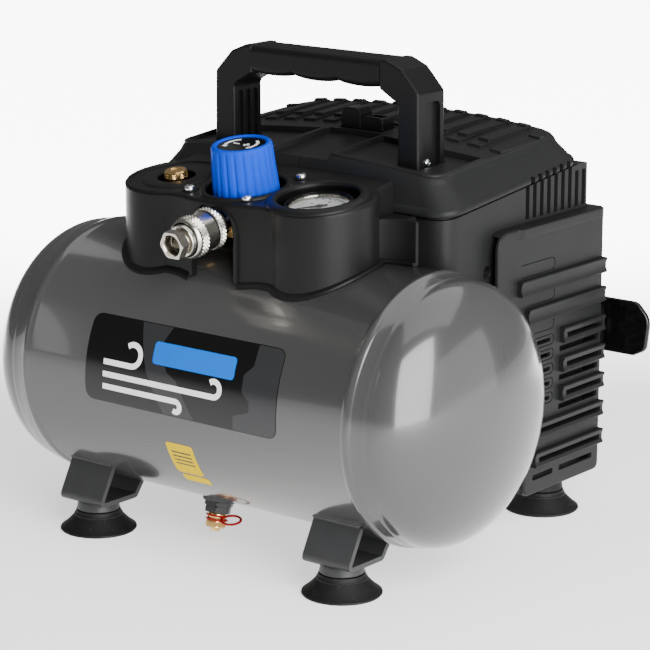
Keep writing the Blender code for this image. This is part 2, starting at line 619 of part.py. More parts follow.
def build_crank():
    cast = material("crankcase_aluminium", (0.5, 0.5, 0.52), 0.5, 0.9)
    steel = material("crank_steel", (0.35, 0.35, 0.36), 0.35, 0.9)
    case = on_shaft("crankcase", cylinder(34, -12.3, 34, 28), cast)
    foot = tool(block((-12, SHAFT_Y - 22, BASE_HIGH + GAP), (34, SHAFT_Y + 22, 75)))
    neck = tool(cylinder(26, 100, 142.7, 24), (CYLINDER_X, SHAFT_Y, 0))
    shape(case, "UNION", foot, neck)
    chamber = tool(cylinder(30, -4, 60, 28), (0, SHAFT_Y, SHAFT_Z), ALONG_X)
    throat = tool(cylinder(BORE_RADIUS + 0.5, 100, 160, 28), (CYLINDER_X, SHAFT_Y, 0))
    seat = tool(cylinder(9.3, -20, 0, 20), (0, SHAFT_Y, SHAFT_Z), ALONG_X)
    shape(case, "DIFFERENCE", chamber, throat, seat)
    disc = on_shaft("crank_disc", cylinder(15, 4, 11, 24), steel)
    pin = tool(cylinder(4, 10, 18, 14), (0, SHAFT_Y, SHAFT_Z + CRANK_THROW), ALONG_X)
    weight = tool(cylinder(12, 4, 10.5, 20), (0, SHAFT_Y, SHAFT_Z - 11), ALONG_X)
    shape(disc, "UNION", pin, weight)
    pin_z = SHAFT_Z + CRANK_THROW
    rod = add("piston_rod", tube(5.5, 9, -4, 4, 20), cast, (CYLINDER_X, SHAFT_Y, pin_z), ALONG_X)
    shank = tool(block((CYLINDER_X - 3, SHAFT_Y - 5, pin_z + 7.5), (CYLINDER_X + 3, SHAFT_Y + 5, pin_z + 67)))
    piston = tool(cylinder(BORE_RADIUS - GAP, pin_z + 66, pin_z + 76, 28), (CYLINDER_X, SHAFT_Y, 0))
    shape(rod, "UNION", shank, piston)


def build_cylinder():
    cast = material("head_aluminium", (0.5, 0.5, 0.52), 0.45, 0.9)
    steel = material("valve_steel", (0.55, 0.55, 0.56), 0.25, 1.0)
    felt = material("filter_felt", (0.6, 0.58, 0.5), 0.9)
    copper = material("delivery_copper", (0.7, 0.35, 0.18), 0.3, 1.0)
    brass = material("check_brass", (0.7, 0.5, 0.22), 0.35, 1.0)
    at = (CYLINDER_X, SHAFT_Y, 0)
    add("cylinder_sleeve", tube(BORE_RADIUS, 24.5, 143, 180, 28), cast, at)
    plate = rounded(-26, 26, -26, 26, 5, corner=3)
    add("valve_plate", upright(plate, 180.3, 183.3), steel, at)
    add("cylinder_head", upright(plate, 183.6, 198), cast, at)
    add("intake_filter", turned([(0, 198.3), (8, 198.3), (9, 200), (9, 210), (0, 210)], 24), felt, at)
    valve = [(0, 72), (3.6, 72), (3.6, 80.8), (8, 80.8), (8, 90), (5.5, 91), (5.5, 98), (0, 98)]
    add("check_valve", turned(valve, 24), brass, (CHECK_VALVE[0], 0, TANK_Z), (-CHECK_ANGLE, 0, 0))
    build_delivery_tube(copper)


def build_delivery_tube(copper):
    """A bent pipe from the side of the cylinder head down to the check valve on the tank."""
    out = Vector((0, math.sin(CHECK_ANGLE), math.cos(CHECK_ANGLE)))
    top = Vector((CHECK_VALVE[0], 0, TANK_Z)) + out * 98.4
    start = Vector((CYLINDER_X + 26.4, SHAFT_Y, 191))
    route = [start, start + Vector((9, 0, 0)), start + Vector((16, -8, 3)), start + Vector((18, -24, 8)),
             top + out * 22 + Vector((0, 22, 0)), top + out * 20, top + out * 8, top]
    curve = bpy.data.curves.new("delivery_tube", "CURVE")
    curve.dimensions = "3D"
    curve.bevel_depth = 3.0 * MM
    curve.bevel_resolution = 1
    curve.use_fill_caps = True
    spline = curve.splines.new("POLY")
    points = smooth_route(route, 5)
    spline.points.add(len(points) - 1)
    for slot, point in zip(spline.points, points):
        slot.co = (*(point * MM), 1.0)
    curve.materials.append(copper)
    made = bpy.data.objects.new("delivery_tube", curve)
    bpy.context.collection.objects.link(made)
    made.parent = ROOT


def smooth_route(route, pieces):
    """Catmull-Rom points through a route."""
    padded = [2 * route[0] - route[1]] + route + [2 * route[-1] - route[-2]]
    points = []
    for a, b, c, d in zip(padded, padded[1:], padded[2:], padded[3:]):
        for k in range(pieces):
            t = k / pieces
            points.append(0.5 * (2 * b + (c - a) * t + (2 * a - 5 * b + 4 * c - d) * t ** 2
                                 + (3 * b - a - 3 * c + d) * t ** 3))
    return points + [route[-1]]


# ---------------------------------------------------------------- assembly
clear_scene()
ROOT = empty("compressor", (0, -CENTRE_Y, 0))
CONSOLE = empty("console_frame", (0, 0, TANK_Z), (TILT, 0, 0), ROOT)
DRAIN = empty("drain_frame", (-20, 0, TANK_Z), (math.pi - DRAIN_LEAN, 0, 0), ROOT)
CHECK_VALVE = (60, 48)
CHECK_ANGLE = math.asin(CHECK_VALVE[1] / TANK_RADIUS)

build_tank()
build_feet()
build_drain()
build_base()
build_housing()
build_cover()
build_handle()
build_rear_fittings()
build_switch()
build_shroud()
build_manifold()
build_regulator()
build_safety_valve()
build_gauge()
build_coupler()
build_motor()
build_crank()
build_cylinder()
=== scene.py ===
# %% [markdown]
# # A small oil-free air compressor
# This lesson dresses a working model of a compressor. The frame brings its plain parts and its
# moving bodies; each cell below builds one visible piece or one finish around them.
# Sizes are in millimetres, in a frame on the tank: x along it, y backwards from its axis and
# z up from the ground. A second frame is leaned with the control console, and a third with the drain.

# %% Load the frame
import json
import math

import bmesh
import bpy
from mathutils import Matrix, Vector


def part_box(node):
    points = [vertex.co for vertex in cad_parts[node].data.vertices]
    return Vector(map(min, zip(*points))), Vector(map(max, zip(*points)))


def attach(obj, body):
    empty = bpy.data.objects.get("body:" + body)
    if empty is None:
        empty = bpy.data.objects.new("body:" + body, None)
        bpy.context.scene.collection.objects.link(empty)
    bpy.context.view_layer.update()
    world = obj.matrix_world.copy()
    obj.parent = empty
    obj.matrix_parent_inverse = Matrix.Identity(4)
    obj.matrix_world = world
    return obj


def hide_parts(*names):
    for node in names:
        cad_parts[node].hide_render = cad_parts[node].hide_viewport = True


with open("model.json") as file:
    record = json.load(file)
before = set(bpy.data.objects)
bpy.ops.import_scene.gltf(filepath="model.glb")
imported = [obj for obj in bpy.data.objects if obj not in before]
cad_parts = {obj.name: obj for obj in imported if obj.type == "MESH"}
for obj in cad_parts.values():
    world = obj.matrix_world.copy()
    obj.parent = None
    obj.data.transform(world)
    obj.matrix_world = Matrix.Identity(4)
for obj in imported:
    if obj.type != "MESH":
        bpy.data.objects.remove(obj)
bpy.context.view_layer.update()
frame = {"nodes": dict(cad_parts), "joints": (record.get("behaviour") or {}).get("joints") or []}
MM = 0.001
joints = {joint["name"]: joint for joint in frame["joints"]}

# %% [markdown]
# ## Where things are
# The tank's box gives the axis, and the joints' axes give the lean of console and drain. Reading
# them from the frame keeps every piece in step with the working parts.

# %% Frames and driving sizes
tank_low, tank_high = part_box("tank_shell")
AXIS_Y = (tank_low.y + tank_high.y) / 2
AXIS_Z = (tank_low.z + tank_high.z) / 2
TANK_Z = AXIS_Z / MM


def lean(joint):
    """Turn about x that takes z to the joint's axis."""
    axis = joints[joint]["axis"]
    return math.atan2(-axis[1], axis[2])


TILT = lean("regulator_turn")
SIZE = Matrix.Scale(MM, 4)
TANK = Matrix.Translation((0, AXIS_Y, 0)) @ SIZE
CONSOLE = Matrix.Translation((0, AXIS_Y, AXIS_Z)) @ Matrix.Rotation(TILT, 4, "X") @ SIZE
drain_x = joints["drain_turn"]["pos_m"][0]
DRAIN = Matrix.Translation((drain_x, AXIS_Y, AXIS_Z)) @ Matrix.Rotation(lean("drain_turn"), 4, "X") @ SIZE


def span(node):
    """Lowest and highest corner of a CAD node in the tank's frame."""
    return [TANK.inverted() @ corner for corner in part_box(node)]


TANK_RADIUS = 80.0
SEAM_X = 125.5
CROWN_X = span("tank_shell")[1].x
house_low, house_high = span("main_housing")
HOUSE_X, HOUSE_FRONT, HOUSE_REAR = house_high.x, house_low.y, house_high.y
HOUSE_LOW = house_low.z
shell_low, shell_high = span("rear_shell")
SHELL_X, SHELL_REAR, SHELL_LOW, SHELL_HIGH = 120.0, shell_high.y, shell_low.z, shell_high.z
cover_low, cover_high = span("top_cover")
COVER_X, COVER_FRONT, COVER_REAR = cover_high.x, cover_low.y, cover_high.y
ROOF_X = 102.0
PLATE = 119.3                   # console's top face, from the tank's axis
PORT_X = joints["gauge_sweep"]["pos_m"][0] / MM
print(f"tank axis {AXIS_Y:.4f}, {AXIS_Z:.4f}; console leans {math.degrees(TILT):.1f} degrees")

# %% [markdown]
# ## Outlines
# Most pieces start as a flat outline with round corners. An arc is a formula, and `soften` rounds
# the corners of any outline, so a shape needs only the points that its corners need.


# %% Outline helpers
def arc(centre, radius, start, end, steps):
    """Points of an arc; angles in degrees."""
    angles = [math.radians(start + (end - start) * k / steps) for k in range(steps + 1)]
    return [(centre[0] + radius * math.cos(a), centre[1] + radius * math.sin(a)) for a in angles]


def soften(points, radius, steps=5, closed=True):
    """The outline with its corners rounded. radius is one number or one for each corner."""
    count = len(points)
    radii = radius if isinstance(radius, (list, tuple)) else [radius] * count
    result = []
    for k, corner in enumerate(points):
        if radii[k] == 0 or (not closed and k in (0, count - 1)):
            result.append(corner)
            continue
        here = Vector(corner)
        before, after = Vector(points[k - 1]) - here, Vector(points[(k + 1) % count]) - here
        half = before.angle(after) / 2
        reach = min(radii[k] / math.tan(half), before.length * 0.49, after.length * 0.49)
        start, end = here + before.normalized() * reach, here + after.normalized() * reach
        for step in range(steps + 1):
            t = step / steps
            result.append(tuple(start * (1 - t) ** 2 + here * 2 * t * (1 - t) + end * t ** 2))
    return result


def box_outline(x0, x1, y0, y1, radius, steps=6):
    return soften([(x0, y0), (x1, y0), (x1, y1), (x0, y1)], radius, steps)


def thicken(path, thickness, bend=4.0):
    """Outline of sheet metal bent along a path."""
    path = [Vector(p) for p in soften(path, bend, closed=False)]
    sides = []
    for k in range(len(path)):
        along = (path[min(k + 1, len(path) - 1)] - path[max(k - 1, 0)]).normalized()
        sides.append(Vector((-along.y, along.x)) * thickness / 2)
    left = [tuple(p + s) for p, s in zip(path, sides)]
    right = [tuple(p - s) for p, s in zip(path, sides)]
    return left + right[::-1]


def mirrored(points):
    return [(-x, y) for x, y in reversed(points)]


print("a softened square has", len(box_outline(0, 1, 0, 1, 0.2)), "points")

# %% [markdown]
# ## Solids
# A solid is a skin stretched over rings of equally many points. Turned parts, prisms and extrusions
# are all skins, so they share one function and all come out closed.


# %% Solid helpers
def skin(loops, closed=False):
    """A solid through loops of equally many points; a closed one runs back to its first loop."""
    mesh = bmesh.new()
    rows = [[mesh.verts.new(point) for point in loop] for loop in loops]
    pairs = list(zip(rows, rows[1:]))
    if closed:
        pairs.append((rows[-1], rows[0]))
    else:
        mesh.faces.new(rows[0])
        mesh.faces.new(rows[-1])
    for lower, upper in pairs:
        for k in range(len(lower)):
            following = (k + 1) % len(lower)
            mesh.faces.new((lower[k], lower[following], upper[following], upper[k]))
    bmesh.ops.remove_doubles(mesh, verts=mesh.verts, dist=0.0005)
    bmesh.ops.recalc_face_normals(mesh, faces=mesh.faces)
    return mesh


def circle(radius, steps, height=0.0, centre=(0, 0)):
    return [(x, y, height) for x, y in arc(centre, radius, 0, 360, steps)[:-1]]


def turned(profile, steps=96, closed=False):
    """A turned solid about z from (radius, height) pairs."""
    return skin([circle(radius, steps, height) for radius, height in profile], closed)


def cylinder(radius, low, high, steps=64, edge=0.0):
    """A round bar; edge is the size of its chamfers."""
    if edge:
        profile = [(radius - edge, low), (radius, low + edge), (radius, high - edge), (radius - edge, high)]
        return turned(profile, steps)
    return turned([(radius, low), (radius, high)], steps)


def tube(inner, outer, low, high, steps=96, edge=0.4):
    profile = [(inner, low), (outer - edge, low), (outer, low + edge), (outer, high - edge),
               (outer - edge, high), (inner, high)]
    return turned(profile, steps, closed=True)


def upright(outline, low, high):
    """A prism over an x-y outline; low and high are heights or functions of a point."""
    def level(height, x, y):
        return height(x, y) if callable(height) else height
    return skin([[(x, y, level(height, x, y)) for x, y in outline] for height in (low, high)])


def along_x(outline, low, high):
    """A prism over a y-z outline."""
    return skin([[(x, y, z) for y, z in outline] for x in (low, high)])


def along_y(outline, low, high):
    """A prism over an x-z outline."""
    return skin([[(x, y, z) for x, z in outline] for y in (low, high)])


def sideways(sign, near, far):
    """Two distances from the middle plane as a low and a high x on the side of the sign."""
    return sorted((sign * near, sign * far))


def block(x0, x1, y0, y1, z0, z1):
    return upright([(x0, y0), (x1, y0), (x1, y1), (x0, y1)], z0, z1)


def merged(*meshes):
    """Several solids side by side in one mesh."""
    whole = bmesh.new()
    for mesh in meshes:
        data = bpy.data.meshes.new("part")
        mesh.to_mesh(data)
        mesh.free()
        whole.from_mesh(data)
        bpy.data.meshes.remove(data)
    return whole


def moved(mesh, matrix):
    bmesh.ops.transform(mesh, matrix=matrix, verts=mesh.verts)
    return mesh


def at(x, y, z):
    return Matrix.Translation((x, y, z))


def rotation(degrees, axis):
    return Matrix.Rotation(math.radians(degrees), 4, axis)


print("a turned peg has", len(cylinder(2, 0, 5).faces), "faces")

# %% [markdown]
# ## From solid to piece
# A `Shape` carries a solid through Booleans and bevels, and then becomes a named piece that rides on
# a body. Modifiers are applied by evaluating the object, which leaves a plain mesh. Every piece ends
# up at the origin, unscaled, with its place in its mesh, as the frame asks.


# %% Shapes and pieces
class Shape:
    """A solid on its way to becoming a piece, in millimetres."""

    def __init__(self, mesh):
        data = bpy.data.meshes.new("shape")
        mesh.to_mesh(data)
        mesh.free()
        self.object = bpy.data.objects.new("shape", data)
        bpy.context.scene.collection.objects.link(self.object)

    def change(self, kind, **settings):
        """Adds a modifier and applies it."""
        modifier = self.object.modifiers.new(kind, kind)
        for name, value in settings.items():
            setattr(modifier, name, value)
        graph = bpy.context.evaluated_depsgraph_get()
        data = bpy.data.meshes.new_from_object(self.object.evaluated_get(graph))
        self.object.modifiers.clear()
        self.object.data = data
        return self

    def cut(self, *meshes, operation="DIFFERENCE"):
        for mesh in meshes:
            tool = Shape(mesh)
            self.change("BOOLEAN", operation=operation, solver="EXACT", object=tool.object)
            bpy.data.objects.remove(tool.object)
        return self

    def join(self, *meshes):
        return self.cut(*meshes, operation="UNION")

    def bevel(self, width, segments=3, angle=32):
        return self.change("BEVEL", width=width, segments=segments, limit_method="ANGLE",
                           angle_limit=math.radians(angle), use_clamp_overlap=True)

    def solid(self):
        """Gives the shape back as a plain solid."""
        mesh = bmesh.new()
        mesh.from_mesh(self.object.data)
        bpy.data.objects.remove(self.object)
        return mesh

    def piece(self, name, look, slot, body="compressor", replaces=(), place=TANK, smooth=35, weighted=True):
        """Names the shape, puts it in its place, gives it its finish and lets it ride on its body."""
        made = self.object
        made.name = made.data.name = name
        made.data.transform(place)
        made.data.shade_smooth()
        made.data.set_sharp_from_angle(angle=math.radians(smooth))
        made.data.materials.clear()
        made.data.materials.append(look)
        if weighted:
            self.change("WEIGHTED_NORMAL", keep_sharp=True)
        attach(made, body)
        if replaces:
            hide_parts(*replaces)
        return made


def piece(name, mesh, look, slot, **settings):
    """A piece straight from a solid."""
    return Shape(mesh).piece(name, look, slot, **settings)


# %% [markdown]
# ## Finishes
# Each finish is one Principled shader whose colour, roughness and bump vary as the real surface
# does. The maths is written as plain expressions: a `Field` wraps a socket, and arithmetic on it
# adds the Math nodes.


# %% Shader helpers
class Field:
    """A value that changes over a surface; arithmetic on it adds Math nodes."""

    def __init__(self, look, socket):
        self.look, self.socket = look, socket

    def math(self, operation, first, second):
        return self.look.node("ShaderNodeMath", {"operation": operation}, {0: first, 1: second})

    def __add__(self, other):
        return self.math("ADD", self, other)

    def __sub__(self, other):
        return self.math("SUBTRACT", self, other)

    def __rsub__(self, other):
        return self.math("SUBTRACT", other, self)

    def __mul__(self, other):
        return self.math("MULTIPLY", self, other)

    def __gt__(self, other):
        return self.math("GREATER_THAN", self, other)

    __radd__, __rmul__ = __add__, __mul__


class Look:
    """A material and the nodes that make it."""

    def __init__(self, name, colour, roughness, metallic=0.0, **sockets):
        self.material = bpy.data.materials.new(name)
        self.material.use_nodes = True
        self.tree = self.material.node_tree
        self.shader = self.tree.nodes["Principled BSDF"]
        self.colour, self.roughness = (*colour, 1.0), roughness
        self.set("Base Color", self.colour)
        self.set("Roughness", roughness)
        self.set("Metallic", metallic)
        for socket, value in sockets.items():
            self.set(socket.replace("_", " "), value)
        self.place = Field(self, self.tree.nodes.new("ShaderNodeTexCoord").outputs["Object"])

    def node(self, kind, settings, sockets, output=0):
        """Adds a node: its settings first, then the values or links of its sockets."""
        made = self.tree.nodes.new(kind)
        for name, value in settings.items():
            setattr(made, name, value)
        for name, value in sockets.items():
            self.join(value, made.inputs[name])
        return Field(self, made.outputs[output])

    def join(self, value, socket):
        if isinstance(value, Field):
            self.tree.links.new(value.socket, socket)
        else:
            socket.default_value = value

    def set(self, socket, value):
        self.join(value, self.shader.inputs[socket])
        return self

    def noise(self, size, detail=3.0, stretch=(1, 1, 1)):
        """Noise whose blotches are about `size` millimetres, from 0 to 1."""
        space = self.node("ShaderNodeMapping", {}, {"Vector": self.place, "Scale": stretch})
        scale = 1 / (size * MM)
        return self.node("ShaderNodeTexNoise", {}, {"Vector": space, "Scale": scale, "Detail": detail})

    def mix(self, factor, first, second):
        """Colour between two colours."""
        return self.node("ShaderNodeMix", {"data_type": "RGBA"}, {0: factor, 6: first, 7: second}, output=2)

    def tone(self, field, amount):
        """Lets the colour wander by a share of itself, lighter and darker, as the field goes from 0 to 1."""
        dark = tuple(c * (1 - amount) for c in self.colour[:3]) + (1.0,)
        light = tuple(min(c * (1 + amount), 1.0) for c in self.colour[:3]) + (1.0,)
        return self.set("Base Color", self.mix(field, dark, light))

    def gloss(self, field, amount):
        return self.set("Roughness", field * amount + (self.roughness - amount / 2))

    def relief(self, field, depth):
        """Bump of a depth in millimetres."""
        return self.set("Normal", self.node("ShaderNodeBump", {}, {"Height": field, "Distance": depth * MM,
                                                                   "Strength": 1.0}))


print("shader helpers ready")

# %% [markdown]
# ### Enamel and steel
# The tank is sprayed with a thick gloss enamel. Up close it has an orange peel: soft waves a few
# millimetres long that make the reflections of the studio lights swim. A clear coat over a slightly
# metallic grey gives the same double gloss.


# %% Painted and bare metals
def tank_enamel():
    look = Look("tank_enamel", (0.055, 0.055, 0.0545), 0.2, 0.3, Coat_Weight=0.5, Coat_Roughness=0.05)
    look.tone(look.noise(90), 0.06)
    look.gloss(look.noise(30), 0.08)
    return look.relief(look.noise(9, 2.0), 0.012).material


def bracket_enamel():
    look = Look("bracket_enamel", (0.03, 0.0305, 0.0315), 0.45, 0.1, Specular_IOR_Level=0.3, Coat_Weight=0.1,
                Coat_Roughness=0.3)
    look.tone(look.noise(12), 0.12)
    look.gloss(look.noise(6), 0.16)
    return look.relief(look.noise(2.5), 0.03).material


def bare_metal(name, colour, roughness, grain=(1, 30, 30)):
    """Rolled, turned or cast metal; grain stretches the marks of its making."""
    look = Look(name, colour, roughness, 1.0)
    look.tone(look.noise(8), 0.08)
    look.gloss(look.noise(4, 4.0, grain), 0.22)
    return look.relief(look.noise(3, 4.0, grain), 0.01).material


def plated(name, colour, roughness):
    """Bright metal with faint stains and the fine rings of a lathe."""
    look = Look(name, colour, roughness, 1.0)
    look.tone(look.noise(3), 0.16)
    look.gloss(look.noise(1.5), 0.12)
    return look.relief(look.noise(0.7), 0.006).material


ENAMEL, BRACKET = tank_enamel(), bracket_enamel()
STEEL = bare_metal("sheet_steel", (0.42, 0.42, 0.43), 0.4)
CAST = bare_metal("cast_alloy", (0.5, 0.5, 0.52), 0.5, (1, 1, 1))
IRON = bare_metal("stator_iron", (0.24, 0.24, 0.25), 0.5, (60, 1, 1))
COPPER = bare_metal("copper", (0.72, 0.36, 0.2), 0.3)
NICKEL = plated("nickel_plate", (0.5, 0.475, 0.42), 0.22)
BRASS = plated("turned_brass", (0.8, 0.52, 0.2), 0.22)
SCREW = plated("zinc_plate", (0.75, 0.76, 0.78), 0.2)
print("metals:", ENAMEL.name, BRACKET.name, NICKEL.name, BRASS.name)

# %% [markdown]
# ### Plastics, rubber and print
# The housing is moulded with a fine spark-eroded grain, which is a bump of a few hundredths of a
# millimetre, and its gloss wanders a little where the plastic flowed. Rubber is rougher and holds a
# few specks of dust. Printed films are smooth and glossy.


# %% Plastics, rubber and print
def moulded(name, colour, roughness, grain=0.02, shine=0.14):
    look = Look(name, colour, roughness, Specular_IOR_Level=shine)
    look.tone(look.noise(22), 0.1)
    look.gloss(look.noise(14), 0.1)
    return look.relief(look.noise(0.6, 2.0), grain).material


def dusty_rubber():
    look = Look("cup_rubber", (0.0035, 0.0035, 0.0035), 0.6, Specular_IOR_Level=0.25)
    specks = look.noise(1.4, 1.0) > 0.72
    look.set("Base Color", look.mix(specks * look.noise(20), look.colour, (0.05, 0.05, 0.048, 1)))
    look.gloss(look.noise(5), 0.25)
    return look.relief(look.noise(1.2), 0.03).material


def film(name, colour, roughness=0.16, shine=0.4):
    """Printed or polished surfaces: an even colour under a smooth gloss."""
    look = Look(name, colour, roughness, Specular_IOR_Level=shine)
    look.tone(look.noise(18), 0.04)
    look.gloss(look.noise(10), 0.06)
    return look.relief(look.noise(5), 0.004).material


def clear_lens():
    look = Look("clear_lens", (1, 1, 1), 0.03, Transmission_Weight=1.0, IOR=1.45)
    look.gloss(look.noise(8), 0.02)
    return look.material


def felt():
    look = Look("filter_felt", (0.6, 0.58, 0.5), 0.95, Sheen_Weight=0.4)
    look.tone(look.noise(1.5, 6.0), 0.25)
    return look.relief(look.noise(0.5, 6.0), 0.1).material


HOUSING = moulded("housing_plastic", (0.0105, 0.0107, 0.011), 0.44)
CONSOLE_PLASTIC = moulded("console_plastic", (0.0058, 0.0059, 0.006), 0.4)
HANDLE = moulded("handle_plastic", (0.0045, 0.0046, 0.0048), 0.4)
BLACK = moulded("black_plastic", (0.003, 0.003, 0.0031), 0.3, 0.01)
BLUE = moulded("knob_blue", (0.0, 0.04, 0.45), 0.45, 0.008, 0.03)
RED = moulded("tether_red", (0.3, 0.006, 0.006), 0.35, 0.01)
GLOSS = film("hook_gloss", (0.002, 0.002, 0.002))
LABEL_BLACK = film("label_black", (0.002, 0.002, 0.0022))
LABEL_GREY = film("label_grey", (0.02, 0.0205, 0.022))
LABEL_BLUE = film("label_blue", (0.0, 0.12, 0.55), 0.5, 0.02)
LABEL_WHITE = film("label_white", (0.8, 0.81, 0.82))
YELLOW = film("sticker_yellow", (0.62, 0.43, 0.0), 0.55, 0.02)
DIAL_WHITE = film("dial_white", (0.85, 0.86, 0.87), 0.35)
RUBBER, LENS, FELT = dusty_rubber(), clear_lens(), felt()
print(len(bpy.data.materials), "materials in all")

# %% [markdown]
# ## Repeats by Geometry Nodes
# Ribs, knurls, scale marks, weld drops and screws are one shape set down many times. A small node
# tree does it: points in rows, a place and a turn for each, the shape on every point, then Realize
# Instances and Set Material. One tree lays the points around an axis and one lays them in rows over
# a sloping, crowned roof; sizes are the tree's named inputs.


# %% Geometry Nodes helpers
class Tree:
    """A Geometry Nodes tree written as calls."""

    def __init__(self, name, sizes, common=("Count", "Rows")):
        self.group = bpy.data.node_groups.new(name, "GeometryNodeTree")
        inputs = {"Template": "NodeSocketObject", "Material": "NodeSocketMaterial"}
        inputs.update({label: "NodeSocketInt" for label in common})
        inputs.update({label: "NodeSocketFloat" for label in sizes})
        face = self.group.interface
        face.new_socket("Geometry", in_out="INPUT", socket_type="NodeSocketGeometry")
        face.new_socket("Geometry", in_out="OUTPUT", socket_type="NodeSocketGeometry")
        self.keys = {label: face.new_socket(label, in_out="INPUT", socket_type=kind).identifier
                     for label, kind in inputs.items()}
        self.inputs = self.group.nodes.new("NodeGroupInput")
        self.output = self.group.nodes.new("NodeGroupOutput")

    def node(self, kind, settings, sockets, output=0):
        made = self.group.nodes.new(kind)
        for name, value in settings.items():
            setattr(made, name, value)
        for name, value in sockets.items():
            self.join(value, made.inputs[name])
        return made.outputs[output]

    def join(self, value, socket):
        if isinstance(value, bpy.types.NodeSocket):
            self.group.links.new(value, socket)
        else:
            socket.default_value = value

    def given(self, name):
        return self.inputs.outputs[name]

    def maths(self, operation, first, second=0.0):
        return self.node("ShaderNodeMath", {"operation": operation}, {0: first, 1: second})

    def stand(self, points, place, turn):
        """Sets the template on every point, and ends the tree."""
        laid = self.node("GeometryNodeSetPosition", {}, {"Geometry": points, "Position": place})
        shape = self.node("GeometryNodeObjectInfo", {}, {"Object": self.given("Template")}, output="Geometry")
        given = {"Points": laid, "Instance": shape, "Rotation": turn}
        copies = self.node("GeometryNodeInstanceOnPoints", {}, given)
        real = self.node("GeometryNodeRealizeInstances", {}, {"Geometry": copies})
        given = {"Geometry": real, "Material": self.given("Material")}
        self.join(self.node("GeometryNodeSetMaterial", {}, given), self.output.inputs[0])
        return self

    def grow(self, template, look, marks=(), **values):
        """Runs the tree with a template solid and returns the result as a Shape."""
        seed = Shape(template)
        spots = bmesh.new()
        for mark in marks:
            spots.verts.new(mark)
        host = Shape(spots)
        modifier = host.object.modifiers.new("repeat", "NODES")
        modifier.node_group = self.group
        given = {"Template": seed.object, "Material": look, **values}
        for label, value in given.items():
            modifier[self.keys[label.replace("_", " ")]] = value
        graph = bpy.context.evaluated_depsgraph_get()
        data = bpy.data.meshes.new_from_object(host.object.evaluated_get(graph))
        host.object.modifiers.clear()
        host.object.data = data
        bpy.data.objects.remove(seed.object)
        return host


def grid_points(tree):
    """Count times Rows points, with the column and the row of each."""
    total = tree.maths("MULTIPLY", tree.given("Count"), tree.given("Rows"))
    points = tree.node("GeometryNodeMeshLine", {"mode": "OFFSET"}, {"Count": total, "Offset": (0, 0, 0)})
    index = tree.node("GeometryNodeInputIndex", {}, {})
    row = tree.maths("FLOOR", tree.maths("DIVIDE", index, tree.given("Count")))
    column = tree.maths("SUBTRACT", index, tree.maths("MULTIPLY", row, tree.given("Count")))
    return points, column, row


def round_tree():
    """Copies around z over Sweep degrees from Start, in rows along z, every other row shifted."""
    tree = Tree("copies_around_an_axis", ["Radius", "Start", "Sweep", "Pitch", "Stagger"])
    points, column, row = grid_points(tree)
    shift = tree.maths("MULTIPLY", tree.maths("MODULO", row, 2.0), tree.given("Stagger"))
    share = tree.maths("DIVIDE", tree.maths("ADD", column, shift), tree.given("Count"))
    degrees = tree.maths("ADD", tree.maths("MULTIPLY", share, tree.given("Sweep")), tree.given("Start"))
    angle = tree.maths("RADIANS", degrees)
    x = tree.maths("MULTIPLY", tree.maths("COSINE", angle), tree.given("Radius"))
    y = tree.maths("MULTIPLY", tree.maths("SINE", angle), tree.given("Radius"))
    z = tree.maths("MULTIPLY", row, tree.given("Pitch"))
    place = tree.node("ShaderNodeCombineXYZ", {}, {0: x, 1: y, 2: z})
    return tree.stand(points, place, tree.node("ShaderNodeCombineXYZ", {}, {0: 0.0, 1: 0.0, 2: angle}))


def roof_tree():
    """Copies in rows over a roof that rises by Slope towards the rear and falls by Crown times x squared."""
    sizes = ["Left", "Step", "Front", "Row step", "Stagger", "Height", "Slope", "Crown"]
    tree = Tree("copies_over_a_roof", sizes)
    points, column, row = grid_points(tree)
    x = tree.maths("ADD", tree.maths("MULTIPLY", column, tree.given("Step")), tree.given("Left"))
    shift = tree.maths("MULTIPLY", tree.maths("MODULO", column, 2.0), tree.given("Stagger"))
    y = tree.maths("ADD", tree.maths("MULTIPLY", row, tree.given("Row step")), tree.given("Front"))
    y = tree.maths("ADD", y, shift)
    fall = tree.maths("MULTIPLY", tree.given("Crown"), x)
    rise = tree.maths("MULTIPLY", tree.given("Slope"), y)
    z = tree.maths("ADD", tree.given("Height"), tree.maths("SUBTRACT", rise, tree.maths("MULTIPLY", fall, x)))
    place = tree.node("ShaderNodeCombineXYZ", {}, {0: x, 1: y, 2: z})
    back = tree.maths("ARCTANGENT", tree.given("Slope"))
    side = tree.maths("ARCTANGENT", tree.maths("MULTIPLY", fall, 2.0))
    return tree.stand(points, place, tree.node("ShaderNodeCombineXYZ", {}, {0: back, 1: side, 2: 0.0}))


AROUND, OVER_ROOF = round_tree(), roof_tree()
print("trees:", AROUND.group.name, OVER_ROOF.group.name)

# %% [markdown]
# ## The tank
# A shell is rolled and welded from sheet, and two pressed heads are welded into its ends, which
# leaves a low bead all round and a short straight band before the dish. It is one turned shape, so
# one profile from the middle to the crown, mirrored, makes all of it.


# %% Tank
def tank_profile():
    seam = [(0.0, -5.0), (0.5, -4.0), (1.2, -2.2), (1.4, -0.6), (1.1, 0.9), (0.2, 2.1), (-0.4, 2.8),
            (-0.4, 9.6), (-1.0, 11.0), (-1.3, 11.8)]
    half = [(TANK_RADIUS + rise, SEAM_X + along) for rise, along in seam]
    rim, start = half[-1]
    depth = CROWN_X - start
    angles = [math.pi / 2 * k / 30 for k in range(1, 31)]
    half += [(rim * math.cos(a), start + depth * math.sin(a)) for a in angles]
    return [(radius, -along) for radius, along in reversed(half)] + half


TANK_AXIS = TANK @ at(0, 0, TANK_Z) @ rotation(90, "Y")
piece("tank", turned(tank_profile(), 160), ENAMEL, "tank_paint", replaces=["tank_shell"], place=TANK_AXIS,
      smooth=60, weighted=False)
print("tank with", len(tank_profile()), "rings")

